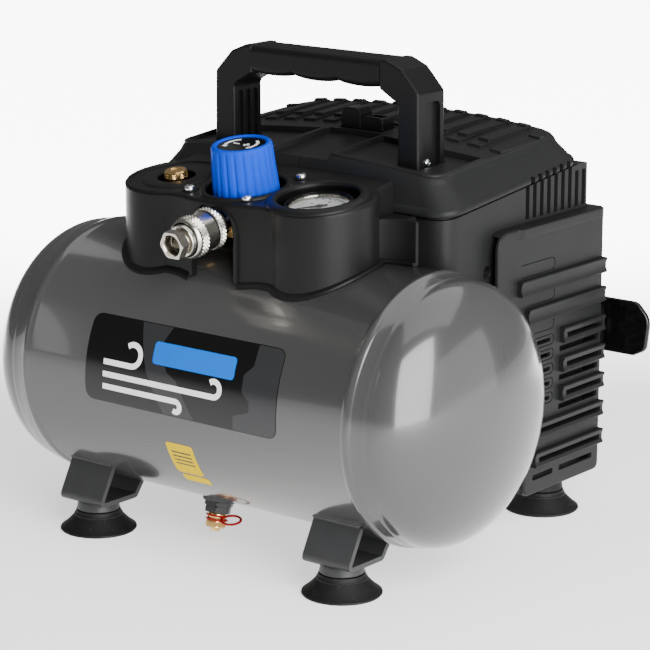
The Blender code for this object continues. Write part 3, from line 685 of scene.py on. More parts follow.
# %% [markdown]
# ## Labels
# A printed film lies on the round shell. It is drawn flat, cut into narrow strips along the shell,
# given a thickness and wrapped round the tank. The art is the object's own: plain panels, a blank
# blue tag and three lines of blown air, with no lettering.


# %% Labels
FILM = 0.08
STRIP, STRIP_START = 2.0, 0.37     # the cuts miss the drawn corners
LOWEST_STRIP, HIGHEST_STRIP = -32, 26


def decal(name, outlines, lift, look, slot):
    """Films drawn flat as (x, way up round the shell) and wrapped round the tank."""
    mesh = bmesh.new()
    for outline in outlines:
        mesh.faces.new([mesh.verts.new((x, up, 0)) for x, up in outline])
    for k in range(LOWEST_STRIP, HIGHEST_STRIP):
        parts = mesh.verts[:] + mesh.edges[:] + mesh.faces[:]
        cut = (0, STRIP * k + STRIP_START, 0)
        bmesh.ops.bisect_plane(mesh, geom=parts, plane_co=cut, plane_no=(0, 1, 0))
    top = bmesh.ops.extrude_face_region(mesh, geom=mesh.faces[:])["geom"]
    for vert in [part for part in top if isinstance(part, bmesh.types.BMVert)]:
        vert.co.z = FILM
    for vert in mesh.verts:
        angle, radius = vert.co.y / TANK_RADIUS, TANK_RADIUS + lift + vert.co.z
        vert.co = (vert.co.x, -radius * math.cos(angle), TANK_Z + radius * math.sin(angle))
    bmesh.ops.recalc_face_normals(mesh, faces=mesh.faces)
    return piece(name, mesh, look, slot, weighted=False)


LABEL_X, LABEL_LOW, LABEL_HIGH, LABEL_CORNER = 74.4, -9.8, 43.3, 7.0


def wind_line(x0, x1, up, curl, turn):
    """A line of blown air that ends in a curl; turn is +1 up or -1 down."""
    bend = arc((x1, up + turn * curl), curl, -90 * turn, 130 * turn, 14)
    return thicken([(x0, up)] + bend, 3.4, bend=0)


def label():
    decal("label_film", [box_outline(-LABEL_X, LABEL_X, LABEL_LOW, LABEL_HIGH, LABEL_CORNER)], 0.05,
          LABEL_BLACK, "gloss_plastic")
    edge = 0.5
    right, low, high = LABEL_X - edge, LABEL_LOW + edge, LABEL_HIGH - edge
    end = [(54, high), (54, 30), (48, 24), (48, 14), (54, 9), (54, 3), (42, -1), (42, low)]
    end = soften(end + [(right, low), (right, high)], [0] * 8 + [LABEL_CORNER - edge] * 2)
    middle = [(-36, high), (-12, high), (-18, 30), (-10, 16), (-2, 12), (12, low), (-12, low), (-26, 14)]
    decal("label_panels", [end, middle], 0.05 + FILM, LABEL_GREY, "gloss_plastic")
    decal("label_tag", [box_outline(-22, 41, 19.5, 33.0, 2.6)], 0.05 + 2 * FILM, LABEL_BLUE, "knob_blue")
    lines = [(-38, 15.0, 6.5, 1), (27, 7.5, 4.6, 1), (-2, 0.0, 3.2, -1)]
    lines = [wind_line(-60, *line) for line in lines]
    decal("label_lines", lines, 0.05 + 2 * FILM, LABEL_WHITE, "white_face")
    tags = [box_outline(-15, 6, -52, -28, 2.4), box_outline(-13, 8, -60, -53.5, 2.0)]
    decal("inspection_tag", tags, 0.05, YELLOW, None)
    decal("inspection_tag_rules", [box_outline(-12, 3, up, up + 1.0, 0.4) for up in (-35, -38, -41, -44)],
          0.05 + FILM, LABEL_BLACK, "gloss_plastic")


label()
print("label", round(2 * LABEL_X), "mm wide")

# %% [markdown]
# ## Weld beads
# A bead is a row of overlapping drops, one for each stop of the torch. The roof tree lays them: with
# no slope and no crown it is a straight row.


# %% Weld beads
def drop(radius):
    mesh = bmesh.new()
    bmesh.ops.create_icosphere(mesh, subdivisions=2, radius=radius)
    return mesh


def bead(name, x0, x1, y, z, radius=1.7):
    step = radius * 0.62
    count = int((x1 - x0) / step)
    row = OVER_ROOF.grow(drop(radius), BRACKET, Count=count, Rows=1, Left=x0, Step=step, Front=y,
                         Row_step=0.0, Stagger=radius * 0.16, Height=z, Slope=0.0, Crown=0.0)
    return row.piece(name, BRACKET, "bracket_paint", smooth=80, weighted=False)


print("beads ready")

# %% [markdown]
# ## Feet
# Each front foot is a strip of sheet steel bent to a U and welded under the tank, with a collar and a
# suction cup of black rubber below it. The strip is a line given a thickness; the tank is cut out of
# its ends, as the real one is trimmed to the round.


# %% Feet
def tank_cutter(extra):
    """The tank's round, a little grown, to be cut out of what stands on it."""
    return moved(cylinder(TANK_RADIUS + extra, -150, 150, 128), at(0, 0, TANK_Z) @ rotation(90, "Y"))


def front_bracket(side):
    low, high = span(f"front_bracket_{side}")
    bottom = low.z + 1.5
    path = [(-40.8, 62.0), (-63.0, bottom), (-31.6, bottom), (-12.0, 47.0)]
    strip = Shape(along_x(thicken(path, 3.0, bend=2.6), low.x, high.x)).bevel(0.5, 2)
    strip.cut(tank_cutter(0.1))
    strip.piece(f"front_bracket_sheet_{side}", BRACKET, "bracket_paint", replaces=[f"front_bracket_{side}"])
    bead(f"front_bracket_weld_{side}", low.x + 0.5, high.x - 0.5, -51.6, 44.4)
    bead(f"rear_bracket_weld_{side}", low.x + 0.5, high.x - 0.5, -23.4, 28.4)


def cup(end, side):
    low, high = span(f"suction_cup_{end}_{side}")
    rim, top = (high.x - low.x) / 2, high.z
    middle = at((low.x + high.x) / 2, (low.y + high.y) / 2, 0)
    profile = [(0, 3.5), (rim - 2.4, 0.1), (rim - 0.6, 0), (rim, 0.7), (rim - 0.2, 1.5), (rim - 1.6, 2.3),
               (18.6, 5.6), (15.6, 8.8), (15.0, 9.4), (15.0, 10.2), (14.2, 11.0), (13.8, top), (0, top)]
    piece(f"suction_cup_rubber_{end}_{side}", turned(profile, 72), RUBBER, "rubber",
          replaces=[f"suction_cup_{end}_{side}"], place=TANK @ middle)
    collar_low, collar_high = span(f"foot_collar_{end}_{side}")
    neck = [(0, collar_low.z), (12.8, collar_low.z), (13.4, collar_low.z + 0.6), (12.6, collar_high.z - 0.5),
            (12.2, collar_high.z), (0, collar_high.z)]
    look, slot = (RUBBER, "rubber") if end == "rear" else (BRACKET, "bracket_paint")
    piece(f"foot_neck_{end}_{side}", turned(neck, 64), look, slot, replaces=[f"foot_collar_{end}_{side}"],
          place=TANK @ middle)


for side in ("left", "right"):
    front_bracket(side)
    for end in ("front", "rear"):
        cup(end, side)
print("four feet")

# %% [markdown]
# ## Drain cock
# Water gathers in the tank, so its lowest point carries a boss, a lock nut and a brass cock with a
# knurled cap on a red tether. The knurl is a diamond set round the cap in rows, each row half a step
# on from the last.


# %% Drain cock
def ring(radius, thickness, steps=64, sides=12):
    """A round ring about z."""
    section = arc((radius, 0), thickness, 0, 360, sides)[:-1]
    return turned(section, steps, closed=True)


def hexagon(across_corners, low, high, bore=0.0):
    """A nut or hexagon bar with turned-down corners."""
    trimmed = across_corners - 0.7
    nut = Shape(cylinder(across_corners, low, high, 6))
    body = [(0, low), (trimmed, low), (across_corners + 0.5, low + 0.8), (across_corners + 0.5, high - 0.8),
            (trimmed, high), (0, high)]
    nut.cut(turned(body, 64), operation="INTERSECT")
    if bore:
        nut.cut(cylinder(bore, low - 5, high + 5))
    return nut.solid()


def diamond(width, height, rise):
    """A four-sided point that stands out along +x."""
    mesh = bmesh.new()
    corners = ((-width, 0), (0, -height), (width, 0), (0, height))
    base = [mesh.verts.new((0, y / 2, z / 2)) for y, z in corners]
    tip = mesh.verts.new((rise, 0, 0))
    mesh.faces.new(base)
    for k in range(4):
        mesh.faces.new((base[k], base[(k + 1) % 4], tip))
    bmesh.ops.recalc_face_normals(mesh, faces=mesh.faces)
    return mesh


def knurl(name, radius, low, high, look, slot, body, place, count=40, rise=0.35):
    """Rows of points pressed into a round grip."""
    width = 2 * math.pi * radius / count
    rows = max(2, round((high - low) / (width * 0.5)) - 1)
    pitch = (high - low) / (rows + 1)
    grown = AROUND.grow(diamond(width, pitch * 2, rise), look, Count=count, Rows=rows, Radius=radius - 0.02,
                        Start=0.0, Sweep=360.0, Pitch=pitch, Stagger=0.5)
    return grown.piece(name, look, slot, body=body, place=place @ at(0, 0, low + pitch), smooth=5,
                       weighted=False)


def drain():
    boss = [(4.3, 78.5), (11.0, 78.5), (10.2, 81.4), (9.2, 82.0), (4.3, 82.0)]
    boss = merged(turned(boss, 64, closed=True), hexagon(9.3, 82.0, 84.5, bore=4.3))
    piece("drain_weld_boss", boss, BRACKET, "bracket_paint", replaces=["drain_boss"], place=DRAIN)
    piece("drain_lock_nut", hexagon(8.4, 84.7, 88.6, bore=3.6), BRACKET, "bracket_paint", place=DRAIN)
    body = [(0, 79), (3.4, 79), (3.4, 88.8), (5.4, 88.8), (5.8, 89.4), (5.8, 91.6), (5.4, 92.2), (4.0, 92.4),
            (4.0, 93.0), (0, 93.0)]
    piece("drain_cock", turned(body, 48), BRASS, "brass", replaces=["drain_valve_body"], place=DRAIN)
    cap = [(0, 93.3), (5.2, 93.3), (5.9, 93.8), (5.9, 97.4), (5.2, 97.9), (3.2, 98.0), (2.8, 100.0),
           (0, 100.0)]
    piece("drain_cock_cap", turned(cap, 48), BRASS, "brass", body="drain_cap", replaces=["drain_cap"],
          place=DRAIN)
    knurl("drain_cap_knurl", 5.9, 93.9, 97.3, BRASS, "brass", "drain_cap", DRAIN, count=26)
    oval = Matrix.Rotation(0.5, 4, "X") @ Matrix.Scale(1.25, 4, (1, 0, 0))
    loop = moved(ring(5.2, 0.75), at(12.4, 1.0, 91.2) @ oval)
    straps = merged(moved(ring(6.3, 0.65), at(0, 0, 90.4)), moved(ring(6.4, 0.6), at(0.3, 0, 92.8)), loop)
    piece("drain_cap_strap", straps, RED, "red_plastic", replaces=["drain_tether"], place=DRAIN,
          weighted=False)


drain()
print("drain cock leans", round(math.degrees(lean("drain_turn"))), "degrees")

# %% [markdown]
# ## Control console
# The console is a moulded shell of two round lobes and a flat middle that stands on the tank, with
# a well for each instrument and an arch for the coupler. Its walls follow one outline; the rounded
# top edge is the same outline drawn in a little at each step of a quarter circle.

# %% Console shell
WALL = 2.5
CONSOLE_LOW = 150.0
CONSOLE_REAR = span("control_shroud")[1].y
WING_TOP = 210.0


def arch(low, grow=0.0):
    """The opening round the coupler, in x and z, with its foot at a height."""
    bend = arc((-1.0, 199.0), 16.0 + grow, 180, 0, 20)
    return [(bend[0][0], low)] + bend + [(bend[-1][0], low)]


def console_outline(inset=0.0, rear=CONSOLE_REAR):
    """Plan of the console: a flat middle and a round lobe on each side, drawn in by an inset."""
    lobe = arc((56, -14), 32.5 - inset, -118, 52, 40)
    half = [(16, -45.5 + inset), (30, -43 + inset)] + lobe + [(lobe[-1][0], rear)]
    return mirrored(half) + half


def wing_outline(sign, inset):
    """Plan of the wing beside a lobe; its front is hollow."""
    half = [(74, -6)] + arc((98, -14), 28 + inset, 150, 86, 16)
    half += [(102 - inset, 14 + inset), (102 - inset, CONSOLE_REAR), (74, CONSOLE_REAR)]
    return [(sign * x, y) for x, y in half]


def plate_level(depth):
    """Height of the leaned plane that lies `depth` under the console's top face."""
    return lambda x, y: TANK_Z + (PLATE - depth + y * math.sin(TILT)) / math.cos(TILT)


def wing_level(depth):
    return lambda x, y: WING_TOP - depth


def rounded_prism(outline, low, top, radius, steps=5):
    """A prism whose top edge is round: outline and top are functions of an inset and a depth."""
    loops = [[(x, y, low) for x, y in outline(0)]]
    for k in range(steps + 1):
        angle = math.pi / 2 * k / steps
        inset, depth = radius * (1 - math.cos(angle)), radius * (1 - math.sin(angle))
        loops.append([(x, y, top(depth)(x, y)) for x, y in outline(inset)])
    return skin(loops)


def console_shell():
    shell = Shape(rounded_prism(console_outline, CONSOLE_LOW, plate_level, 2.2))
    for sign in (-1, 1):
        wing = rounded_prism(lambda inset: wing_outline(sign, inset), CONSOLE_LOW, wing_level, 1.2)
        shell.join(wing)
    shell.cut(upright(console_outline(WALL, CONSOLE_REAR + 5), 140, plate_level(WALL)))
    for sign in (-1, 1):
        shell.cut(block(*sideways(sign, 93, 110), 14 + WALL, 60, 140, WING_TOP + 5))
    for x, radius in ((-PORT_X, 11.9), (0, 24.0), (PORT_X, 24.4)):
        shell.cut(moved(cylinder(radius, 108, 130, 72), CONSOLE_IN_TANK @ at(x, 0, 0)))
    shell.cut(along_y(arch(CONSOLE_LOW), -60, -35), tank_cutter(0.6))
    shell.piece("console_shell", CONSOLE_PLASTIC, "console_plastic", replaces=["control_shroud"], smooth=30)


CONSOLE_IN_TANK = TANK.inverted() @ CONSOLE
console_shell()
print("console outline has", len(console_outline()), "points")

# %% [markdown]
# ### Rims, foot and arch
# Raised rims frame the wells, a thin foot spreads along the tank with a shadow line above it, and a
# raised band frames the arch. The foot is a small section carried along the outline; each of its
# rings stands square to the path and rides on the round of the tank.


# %% Console trims
COUPLER = CONSOLE @ at(0, 0, 105) @ rotation(90, "X")


def rims():
    gauge_rim = [(24.2, 118.9), (24.2, 120.4), (25.0, 121.5), (26.6, 122.0), (28.6, 121.6), (30.2, 120.6),
                 (31.0, 119.6), (31.0, 118.9)]
    knob_rim = [(23.8, 118.9), (23.8, 120.2), (24.6, 121.0), (26.4, 121.0), (27.4, 120.2), (27.8, 118.9)]
    edge_rim = [(28.4, 118.9), (28.8, 119.9), (29.6, 120.3), (30.6, 120.0), (31.4, 118.9)]
    disc_rim = [(11.7, 118.9), (11.7, 119.7), (12.2, 120.1), (20.6, 120.1), (21.6, 119.2), (21.6, 118.9)]
    places = ((PORT_X, gauge_rim), (0, knob_rim), (-PORT_X, edge_rim), (-PORT_X, disc_rim))
    solids = [moved(turned(profile, 96, closed=True), at(x, 0, 0)) for x, profile in places]
    piece("console_rims", merged(*solids), CONSOLE_PLASTIC, "console_plastic", place=CONSOLE, smooth=50)
    wells = ((PORT_X, 24.2, 100.5), (0, 23.8, 112.5), (-PORT_X, 11.7, 112.5))
    liners = [moved(tube(radius, radius + 0.8, low, 119.2), at(x, 0, 0)) for x, radius, low in wells]
    piece("console_well_liners", merged(*liners), BLACK, "black_plastic", place=CONSOLE)


def tank_top(y):
    return TANK_Z + math.sqrt(TANK_RADIUS ** 2 - y ** 2)


def foot_strip(path, flip):
    """A low strip along the tank beside a path; flip chooses the side it spreads to."""
    section = [(-1.4, 0.15), (2.6, 0.15), (3.0, 0.9), (2.8, 1.9), (2.2, 2.3), (-1.4, 2.3)]
    loops = []
    for k, point in enumerate(path):
        before, after = Vector(path[max(k - 1, 0)]), Vector(path[min(k + 1, len(path) - 1)])
        along = (after - before).normalized()
        out = Vector((along.y, -along.x)) * flip
        spots = [(Vector(point) + out * reach, lift) for reach, lift in section]
        loops.append([(p.x, p.y, tank_top(p.y) + lift) for p, lift in spots])
    return skin(loops)


def console_foot():
    lobe = arc((56, -14), 32.5, -118, 41.8, 36)
    wing = arc((98, -14), 28, 129.4, 86, 12)[1:]
    right = [(17.5, -45.3), (30, -43)] + lobe + wing + [(102, 14)]
    left = [(-x - (2 if x < 18 else 0), y) for x, y in right]
    strips = merged(foot_strip(right, 1), foot_strip(left, -1))
    piece("console_foot", strips, CONSOLE_PLASTIC, "console_plastic", smooth=40)
    frame_band = Shape(along_y(thicken(arch(172.0, 1.3), 2.5, bend=0), -47.4, -43.0)).bevel(0.6, 2)
    frame_band.cut(tank_cutter(0.3), moved(cylinder(14.6, 20, 60, 72), TANK.inverted() @ COUPLER))
    frame_band.piece("console_arch_band", CONSOLE_PLASTIC, "console_plastic", smooth=40)


rims()
console_foot()
print("console trims done")

# %% [markdown]
# ### Screws
# A pan-head screw is turned, and a cross recess is cut into it once. The node tree sets a copy on
# each mark. Marks are the vertices of the host mesh, so this tree can serve any pattern.


# %% Screws
def marks_tree():
    tree = Tree("copies_on_marks", ["Turn"], common=())
    spot = tree.node("GeometryNodeInputPosition", {}, {})
    index = tree.node("GeometryNodeInputIndex", {}, {})
    turn = tree.maths("MULTIPLY", tree.given("Turn"), index)
    rotation = tree.node("ShaderNodeCombineXYZ", {}, {0: 0.0, 1: 0.0, 2: turn})
    return tree.stand(tree.given("Geometry"), spot, rotation)


ON_MARKS = marks_tree()


def screw(radius, height):
    """A pan head with a cross recess, standing on z = 0."""
    head = [(0, -1.0), (radius * 0.6, -1.0), (radius * 0.6, 0), (radius, 0), (radius, height * 0.35),
            (radius * 0.9, height * 0.7), (radius * 0.66, height * 0.93), (radius * 0.3, height), (0, height)]
    made = Shape(turned(head, 40))
    arm, half = radius * 0.55, radius * 0.13
    for x, y in ((arm, half), (half, arm)):
        made.cut(block(-x, x, -y, y, height * 0.4, height + 1))
    return made.solid()


def screws(name, places, radius, height, place, turn=0.7):
    grown = ON_MARKS.grow(screw(radius, height), SCREW, marks=places, Turn=turn)
    return grown.piece(name, SCREW, "nickel", place=place, smooth=40, weighted=False)


plate_screws = [(-29.0, -17.3), (16.6, -18.8), (20.5, 27.0)]
bosses = [moved(cylinder(4.4, PLATE - 0.6, PLATE + 1.0, 40, edge=0.5), at(x, y, 0)) for x, y in plate_screws]
piece("console_screw_bosses", merged(*bosses), CONSOLE_PLASTIC, "console_plastic", place=CONSOLE)
screws("console_screws", [(x, y, PLATE + 1.0) for x, y in plate_screws], 3.3, 2.2, CONSOLE)
print(len(plate_screws), "console screws")

# %% [markdown]
# ### Regulator knob
# The knob is turned by hand, so narrow grooves run down its side between broad lands. Its radius is a
# formula of the angle, and each ring of the skin uses that formula with its own radius and groove.


# %% Regulator knob
GROOVES = 22


def grooved_ring(radius, groove, height):
    steps = GROOVES * 10
    points = []
    for k in range(steps):
        phase = abs((k % 10) / 10 - 0.5) * 2
        reach = radius - groove * max(0.0, (phase - 0.55) / 0.45) ** 0.7
        angle = 2 * math.pi * k / steps
        points.append((reach * math.cos(angle), reach * math.sin(angle), height))
    return points


def polar(radius, angle):
    return arc((0, 0), radius, angle, angle, 1)[0]


def sweep_arrow(radius, width, start, end):
    """A curved arrow about the middle; angles in degrees."""
    head = math.copysign(16.0, end - start)
    outer = arc((0, 0), radius + width / 2, start, end, 16)
    inner = arc((0, 0), radius - width / 2, end, start, 16)
    tip = [polar(radius + width * 1.1, end), polar(radius, end + head), polar(radius - width * 1.1, end)]
    return outer + tip + inner


def knob():
    levels = [(20.2, 0.5, 113.2), (20.4, 0.9, 114.0), (20.1, 0.9, 116.5), (19.4, 0.9, 126.0),
              (18.8, 0.85, 136.0), (18.5, 0.8, 142.5), (18.35, 0.5, 144.3), (18.1, 0.1, 145.6),
              (17.6, 0, 146.4), (16.9, 0, 146.9), (15.4, 0, 146.9), (14.8, 0, 146.4), (14.5, 0, 145.2)]
    side = Shape(skin([grooved_ring(*level) for level in levels])).cut(cylinder(14.2, 100, 139, 48))
    side.piece("regulator_knob_blue", BLUE, "knob_blue", body="regulator_knob", replaces=["regulator_knob"],
               place=CONSOLE, smooth=50)
    piece("regulator_knob_disc", cylinder(14.3, 145.3, 146.1, 64, edge=0.2), LABEL_BLACK, "black_plastic",
          body="regulator_knob", replaces=["regulator_disc"], place=CONSOLE)
    marks = [sweep_arrow(9.8, 1.8, 60, -20), sweep_arrow(9.8, 1.8, 130, 215)]
    marks += [box_outline(-6.0, -1.6, -0.6, 0.6, 0.1, 1), box_outline(1.6, 6.0, -0.6, 0.6, 0.1, 1)]
    solids = [upright(mark, 146.15, 146.25) for mark in marks] + [block(3.2, 4.4, -2.2, 2.2, 146.15, 146.27)]
    piece("regulator_knob_marks", merged(*solids), LABEL_WHITE, "white_face", body="regulator_knob",
          place=CONSOLE, weighted=False)


knob()
print("knob with", GROOVES, "grooves")

# %% [markdown]
# ### Safety valve and pressure gauge
# The valve is lifted by a small knurled brass cap. The gauge is a black case with a bright ring, a
# pale dial with scale marks, a pointer and a lens. The marks are one bar set round the dial by the
# tree; a few plain numbers stand for the scale.

# %% Safety valve and gauge
SCALE_START, SCALE_SWEEP, SCALE_STEPS = -135.0, 270.0, 8
dial_low, dial_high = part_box("gauge_dial")
DIAL_TOP = (CONSOLE.inverted() @ ((dial_low + dial_high) / 2)).z + 0.5


def safety_valve():
    cap = [(0, 118.4), (2.6, 118.4), (2.6, 113.4), (6.4, 113.4), (6.9, 113.9), (6.6, 116.4), (6.6, 118.0),
           (6.9, 118.6), (6.9, 123.0), (6.3, 123.8), (4.0, 123.9), (3.6, 123.4), (0, 123.4)]
    place = CONSOLE @ at(-PORT_X, 0, 0)
    piece("safety_valve_knob", turned(cap, 72), BRASS, "brass", body="safety_valve_cap",
          replaces=["safety_valve_cap"], place=place)
    knurl("safety_valve_knurl", 6.85, 118.9, 122.7, BRASS, "brass", "safety_valve_cap", place, count=30,
          rise=0.3)


def dial_marks(name, count, radius, length, width, place):
    bar = block(-length / 2, length / 2, -width / 2, width / 2, 0, 0.12)
    grown = AROUND.grow(bar, LABEL_BLACK, Count=count, Rows=1, Radius=radius, Start=SCALE_START,
                        Sweep=SCALE_SWEEP * count / (count - 1), Pitch=0.0, Stagger=0.0)
    return grown.piece(name, LABEL_BLACK, "black_plastic", place=place, weighted=False)


def dial_numbers(place, top):
    """Plain numbers beside the long marks, as on any pressure scale."""
    whole = []
    for k in range(0, SCALE_STEPS + 1, 2):
        text = bpy.data.curves.new("number", "FONT")
        text.body, text.size, text.extrude = str(2 * k), 3.4, 0.05
        text.align_x, text.align_y = "CENTER", "CENTER"
        host = bpy.data.objects.new("number", text)
        bpy.context.scene.collection.objects.link(host)
        bpy.context.view_layer.update()
        data = bpy.data.meshes.new_from_object(host.evaluated_get(bpy.context.evaluated_depsgraph_get()))
        bpy.data.objects.remove(host)
        mesh = bmesh.new()
        mesh.from_mesh(data)
        bmesh.ops.remove_doubles(mesh, verts=mesh.verts, dist=0.001)
        x, y = polar(9.6, 225 - SCALE_SWEEP * k / SCALE_STEPS)
        whole.append(moved(mesh, at(x, y, top)))
    piece("gauge_numbers", merged(*whole), LABEL_BLACK, "black_plastic", place=place, weighted=False)


def gauge():
    place = CONSOLE @ at(PORT_X, 0, 0)
    face = DIAL_TOP
    case = [(0, 100.3), (16, 100.3), (20.5, 104), (20.5, 117.2), (20.1, 117.6), (18.9, 117.6),
            (18.9, 112.1), (0, 112.1)]
    piece("gauge_housing", turned(case, 96), BLACK, "black_plastic", replaces=["gauge_case"], place=place)
    bezel = [(17.3, face + 0.3), (18.75, face + 0.3), (18.75, face + 2.6), (18.1, face + 3.0),
             (17.3, face + 1.4)]
    piece("gauge_bezel", turned(bezel, 96, closed=True), NICKEL, "nickel", place=place, smooth=50)
    piece("gauge_face", cylinder(18.4, face - 0.9, face, 96, edge=0.1), DIAL_WHITE, "white_face",
          replaces=["gauge_dial"], place=place)
    dial_marks("gauge_long_marks", SCALE_STEPS * 2 + 1, 14.4, 3.0, 0.5, place @ at(0, 0, face + 0.02))
    dial_marks("gauge_short_marks", SCALE_STEPS * 10 + 1, 15.2, 1.4, 0.22, place @ at(0, 0, face + 0.02))
    dial_numbers(place, face + 0.08)
    hand = [(-1.0, -5), (1.0, -5), (1.3, 0), (0.3, 13.4), (-0.3, 13.4), (-1.3, 0)]
    hub = cylinder(2.2, face + 0.6, face + 1.2, 32, edge=0.15)
    pointer = merged(upright(hand, face + 0.65, face + 1.05), hub)
    piece("gauge_pointer", pointer, LABEL_BLACK, "black_plastic", body="gauge_needle",
          replaces=["gauge_needle"], place=place @ rotation(135, "Z"))


safety_valve()
gauge()
print(f"dial {DIAL_TOP:.1f} mm from the tank's axis")

# %% [markdown]
# ### Quick coupler
# The hose plugs into a nickel-plated coupler: a hexagon nose with a bore, a sleeve with two knurled
# bands and a smooth one between, which is pushed back to let the plug go, and a neck. All of it is
# turned about an axis that points to the front.

# %% Quick coupler
NOSE_TIP = 69.3


def coupler():
    core = [(0, 14.3), (7, 14.3), (7, 30.5), (10.2, 30.8), (10.2, 57.2), (9.6, 58.4), (9.6, 60.2),
            (9.1, 60.8), (6.8, 61.0), (6.8, 63.2), (5.2, 63.2), (5.2, 61), (6.2, 58), (6.2, 47), (4.0, 46),
            (4.0, 41), (0, 41)]
    bore = [(5.4, 60), (5.4, 67.4), (6.8, 69.6), (6.8, 75), (0, 75), (0, 60)]
    nose = Shape(hexagon(8.9, 62.9, NOSE_TIP)).cut(turned(bore, 48))
    piece("coupler_core", merged(turned(core, 72), nose.solid()), NICKEL, "nickel", replaces=["coupler_body"],
          place=COUPLER, smooth=40)
    sleeve = [(10.6, 40.0), (11.6, 40.0), (11.9, 40.4), (11.9, 48.4), (12.2, 48.8), (12.2, 55.6),
              (11.9, 56.6), (11.0, 57.7), (10.6, 57.9)]
    piece("coupler_grip", turned(sleeve, 96, closed=True), NICKEL, "nickel", body="coupler_sleeve",
          replaces=["coupler_sleeve"], place=COUPLER, smooth=40)
    rear = [(10.6, 33.7), (12.0, 33.7), (12.4, 34.1), (12.4, 38.8), (12.0, 39.2), (10.6, 39.2)]
    piece("coupler_rear_ring", turned(rear, 96, closed=True), NICKEL, "nickel", body="coupler_sleeve",
          replaces=["coupler_nut"], place=COUPLER, smooth=40)
    for end, radius, low, high in (("front", 12.2, 49.0, 55.4), ("rear", 12.4, 34.2, 38.7)):
        knurl(f"coupler_{end}_knurl", radius, low, high, NICKEL, "nickel", "coupler_sleeve", COUPLER,
              count=34, rise=0.7)


coupler()
print("coupler ends", NOSE_TIP, "mm from the regulator's axis")

# %% [markdown]
# ## Housing
# The lower housing is a box with round corners that saddles the tank. Its rim slopes up to the rear
# under the cover, its top behind the cover is a round ledge, and nine slots in each side let the air
# out. The screws that hold it sit deep in round holes.

# %% Housing
CORNER = 14.0
LEDGE_Z = 223.4
SLOT_PITCH, SLOT_WIDTH, SLOT_COUNT, SLOT_FRONT, SLOT_LOW = 7.6, 3.8, 9, 111.0, 197.0
SCREW_HOLE = (72.0, 171.0)      # y and z of the hole in each side
SIDES = {"left": -1, "right": 1}


def lip(y):
    """Height of the lower edge of the cover."""
    return 210.3 + 0.11 * (y - HOUSE_FRONT)


def house_outline(grow=0.0):
    """Plan of the housing: large round corners in front, small ones behind."""
    x, front, rear = HOUSE_X + grow, HOUSE_FRONT - grow, HOUSE_REAR + grow
    return soften([(-x, front), (x, front), (x, rear), (-x, rear)], [CORNER, CORNER, 4, 4], 10)


def side_slot(sign, k):
    """The slots under the cover are open at the top; the last ones end below the ledge."""
    front = SLOT_FRONT + SLOT_PITCH * k
    top = 240 if front + SLOT_WIDTH < COVER_REAR else LEDGE_Z - 4
    return block(*sideways(sign, HOUSE_X - 6, HOUSE_X + 6), front, front + SLOT_WIDTH, SLOT_LOW, top)


def screw_hole(sign):
    """The frame of the hole in one side, with z pointing outwards."""
    return at(0, *SCREW_HOLE) @ rotation(sign * 90, "Y")


def shadow_gap():
    """The step under the lip, where the housing draws in all round below the cover."""
    ring = Shape(upright(house_outline(8), lambda x, y: lip(y) - 2.4, 260))
    ring.cut(upright(house_outline(-1.8), 150, 300), block(-140, 140, COVER_REAR - 1, 220, 150, 300))
    return ring.solid()


def housing():
    body = Shape(upright(house_outline(), HOUSE_LOW, lambda x, y: lip(y) + 2.7))
    back = [(155, LEDGE_Z)] + soften([(170, LEDGE_Z), (180.2, LEDGE_Z), (180.2, 212)], 9, 8, closed=False)
    body.cut(along_x(back + [(200, 212), (200, 260), (155, 260)], -130, 130), shadow_gap()).bevel(0.7, 2, 50)
    body.cut(upright(house_outline(-WALL), HOUSE_LOW - 5, lambda x, y: 211 + 0.075 * (y - HOUSE_FRONT)))
    hole = [(0, 104), (3.5, 104), (3.5, 110.8), (4.3, 111.4), (4.3, 115), (0, 115)]
    for sign in (-1, 1):
        body.join(moved(cylinder(6.5, 100, HOUSE_X - 1), screw_hole(sign)))
        body.cut(moved(turned(hole, 48), screw_hole(sign)))
    body.cut(block(-104, 104, 38, 164, 180, 250), block(-100, 100, 160, 190, 34, 190), tank_cutter(0.5))
    body.cut(merged(*[side_slot(sign, k) for sign in (-1, 1) for k in range(SLOT_COUNT)]))
    body.piece("housing", HOUSING, "housing_plastic", replaces=["main_housing"])
    for side, sign in SIDES.items():
        screws(f"housing_screw_{side}", [(0, 0, 104.1)], 3.1, 2.0, TANK @ screw_hole(sign))


housing()
print("housing with", 2 * SLOT_COUNT, "slots")

# %% [markdown]
# ## Top cover
# The cover is a crowned lid. It is a skin through rings: up the lip, in over the shoulder, over the
# round edge of the roof and to its middle, then back underneath. A channel, two sunk panels and the
# openings for the handle and the switch are cut into it.

# %% Top cover
SLOPE, FALL = 0.085, 6.5 / 102 ** 2
ROOF_FRONT = 238.0 - SLOPE * 33
SWITCH_X, SWITCH_FRONT, SWITCH_REAR = 16.0, 93.0, 106.0
POST_IN, POST_OUT, POST_FRONT, POST_REAR = 63.5, 79.5, 46.0, 73.0
PANEL_FRONT = 37.0
NOTCH_COUNT = 7                 # the last slots lie behind the cover


def roof(x, y):
    """Height of the crowned roof, which rises to the rear."""
    return ROOF_FRONT + SLOPE * y - FALL * x ** 2


def cover_ring(half, front, rear, radius, level):
    """One ring of the cover, with points along its sides so that it follows the crown."""
    centres = [(half - radius, front + radius), (half - radius, rear - radius),
               (radius - half, rear - radius), (radius - half, front + radius)]
    bends = [arc(centre, radius, 90 * k - 90, 90 * k, 8) for k, centre in enumerate(centres)]
    outline = []
    for k, bend in enumerate(bends):
        start, end = Vector(bend[-1]), Vector(bends[(k + 1) % 4][0])
        outline += bend + [tuple(start.lerp(end, t / 14)) for t in range(1, 14)]
    return [(x, y, level(x, y)) for x, y in outline]


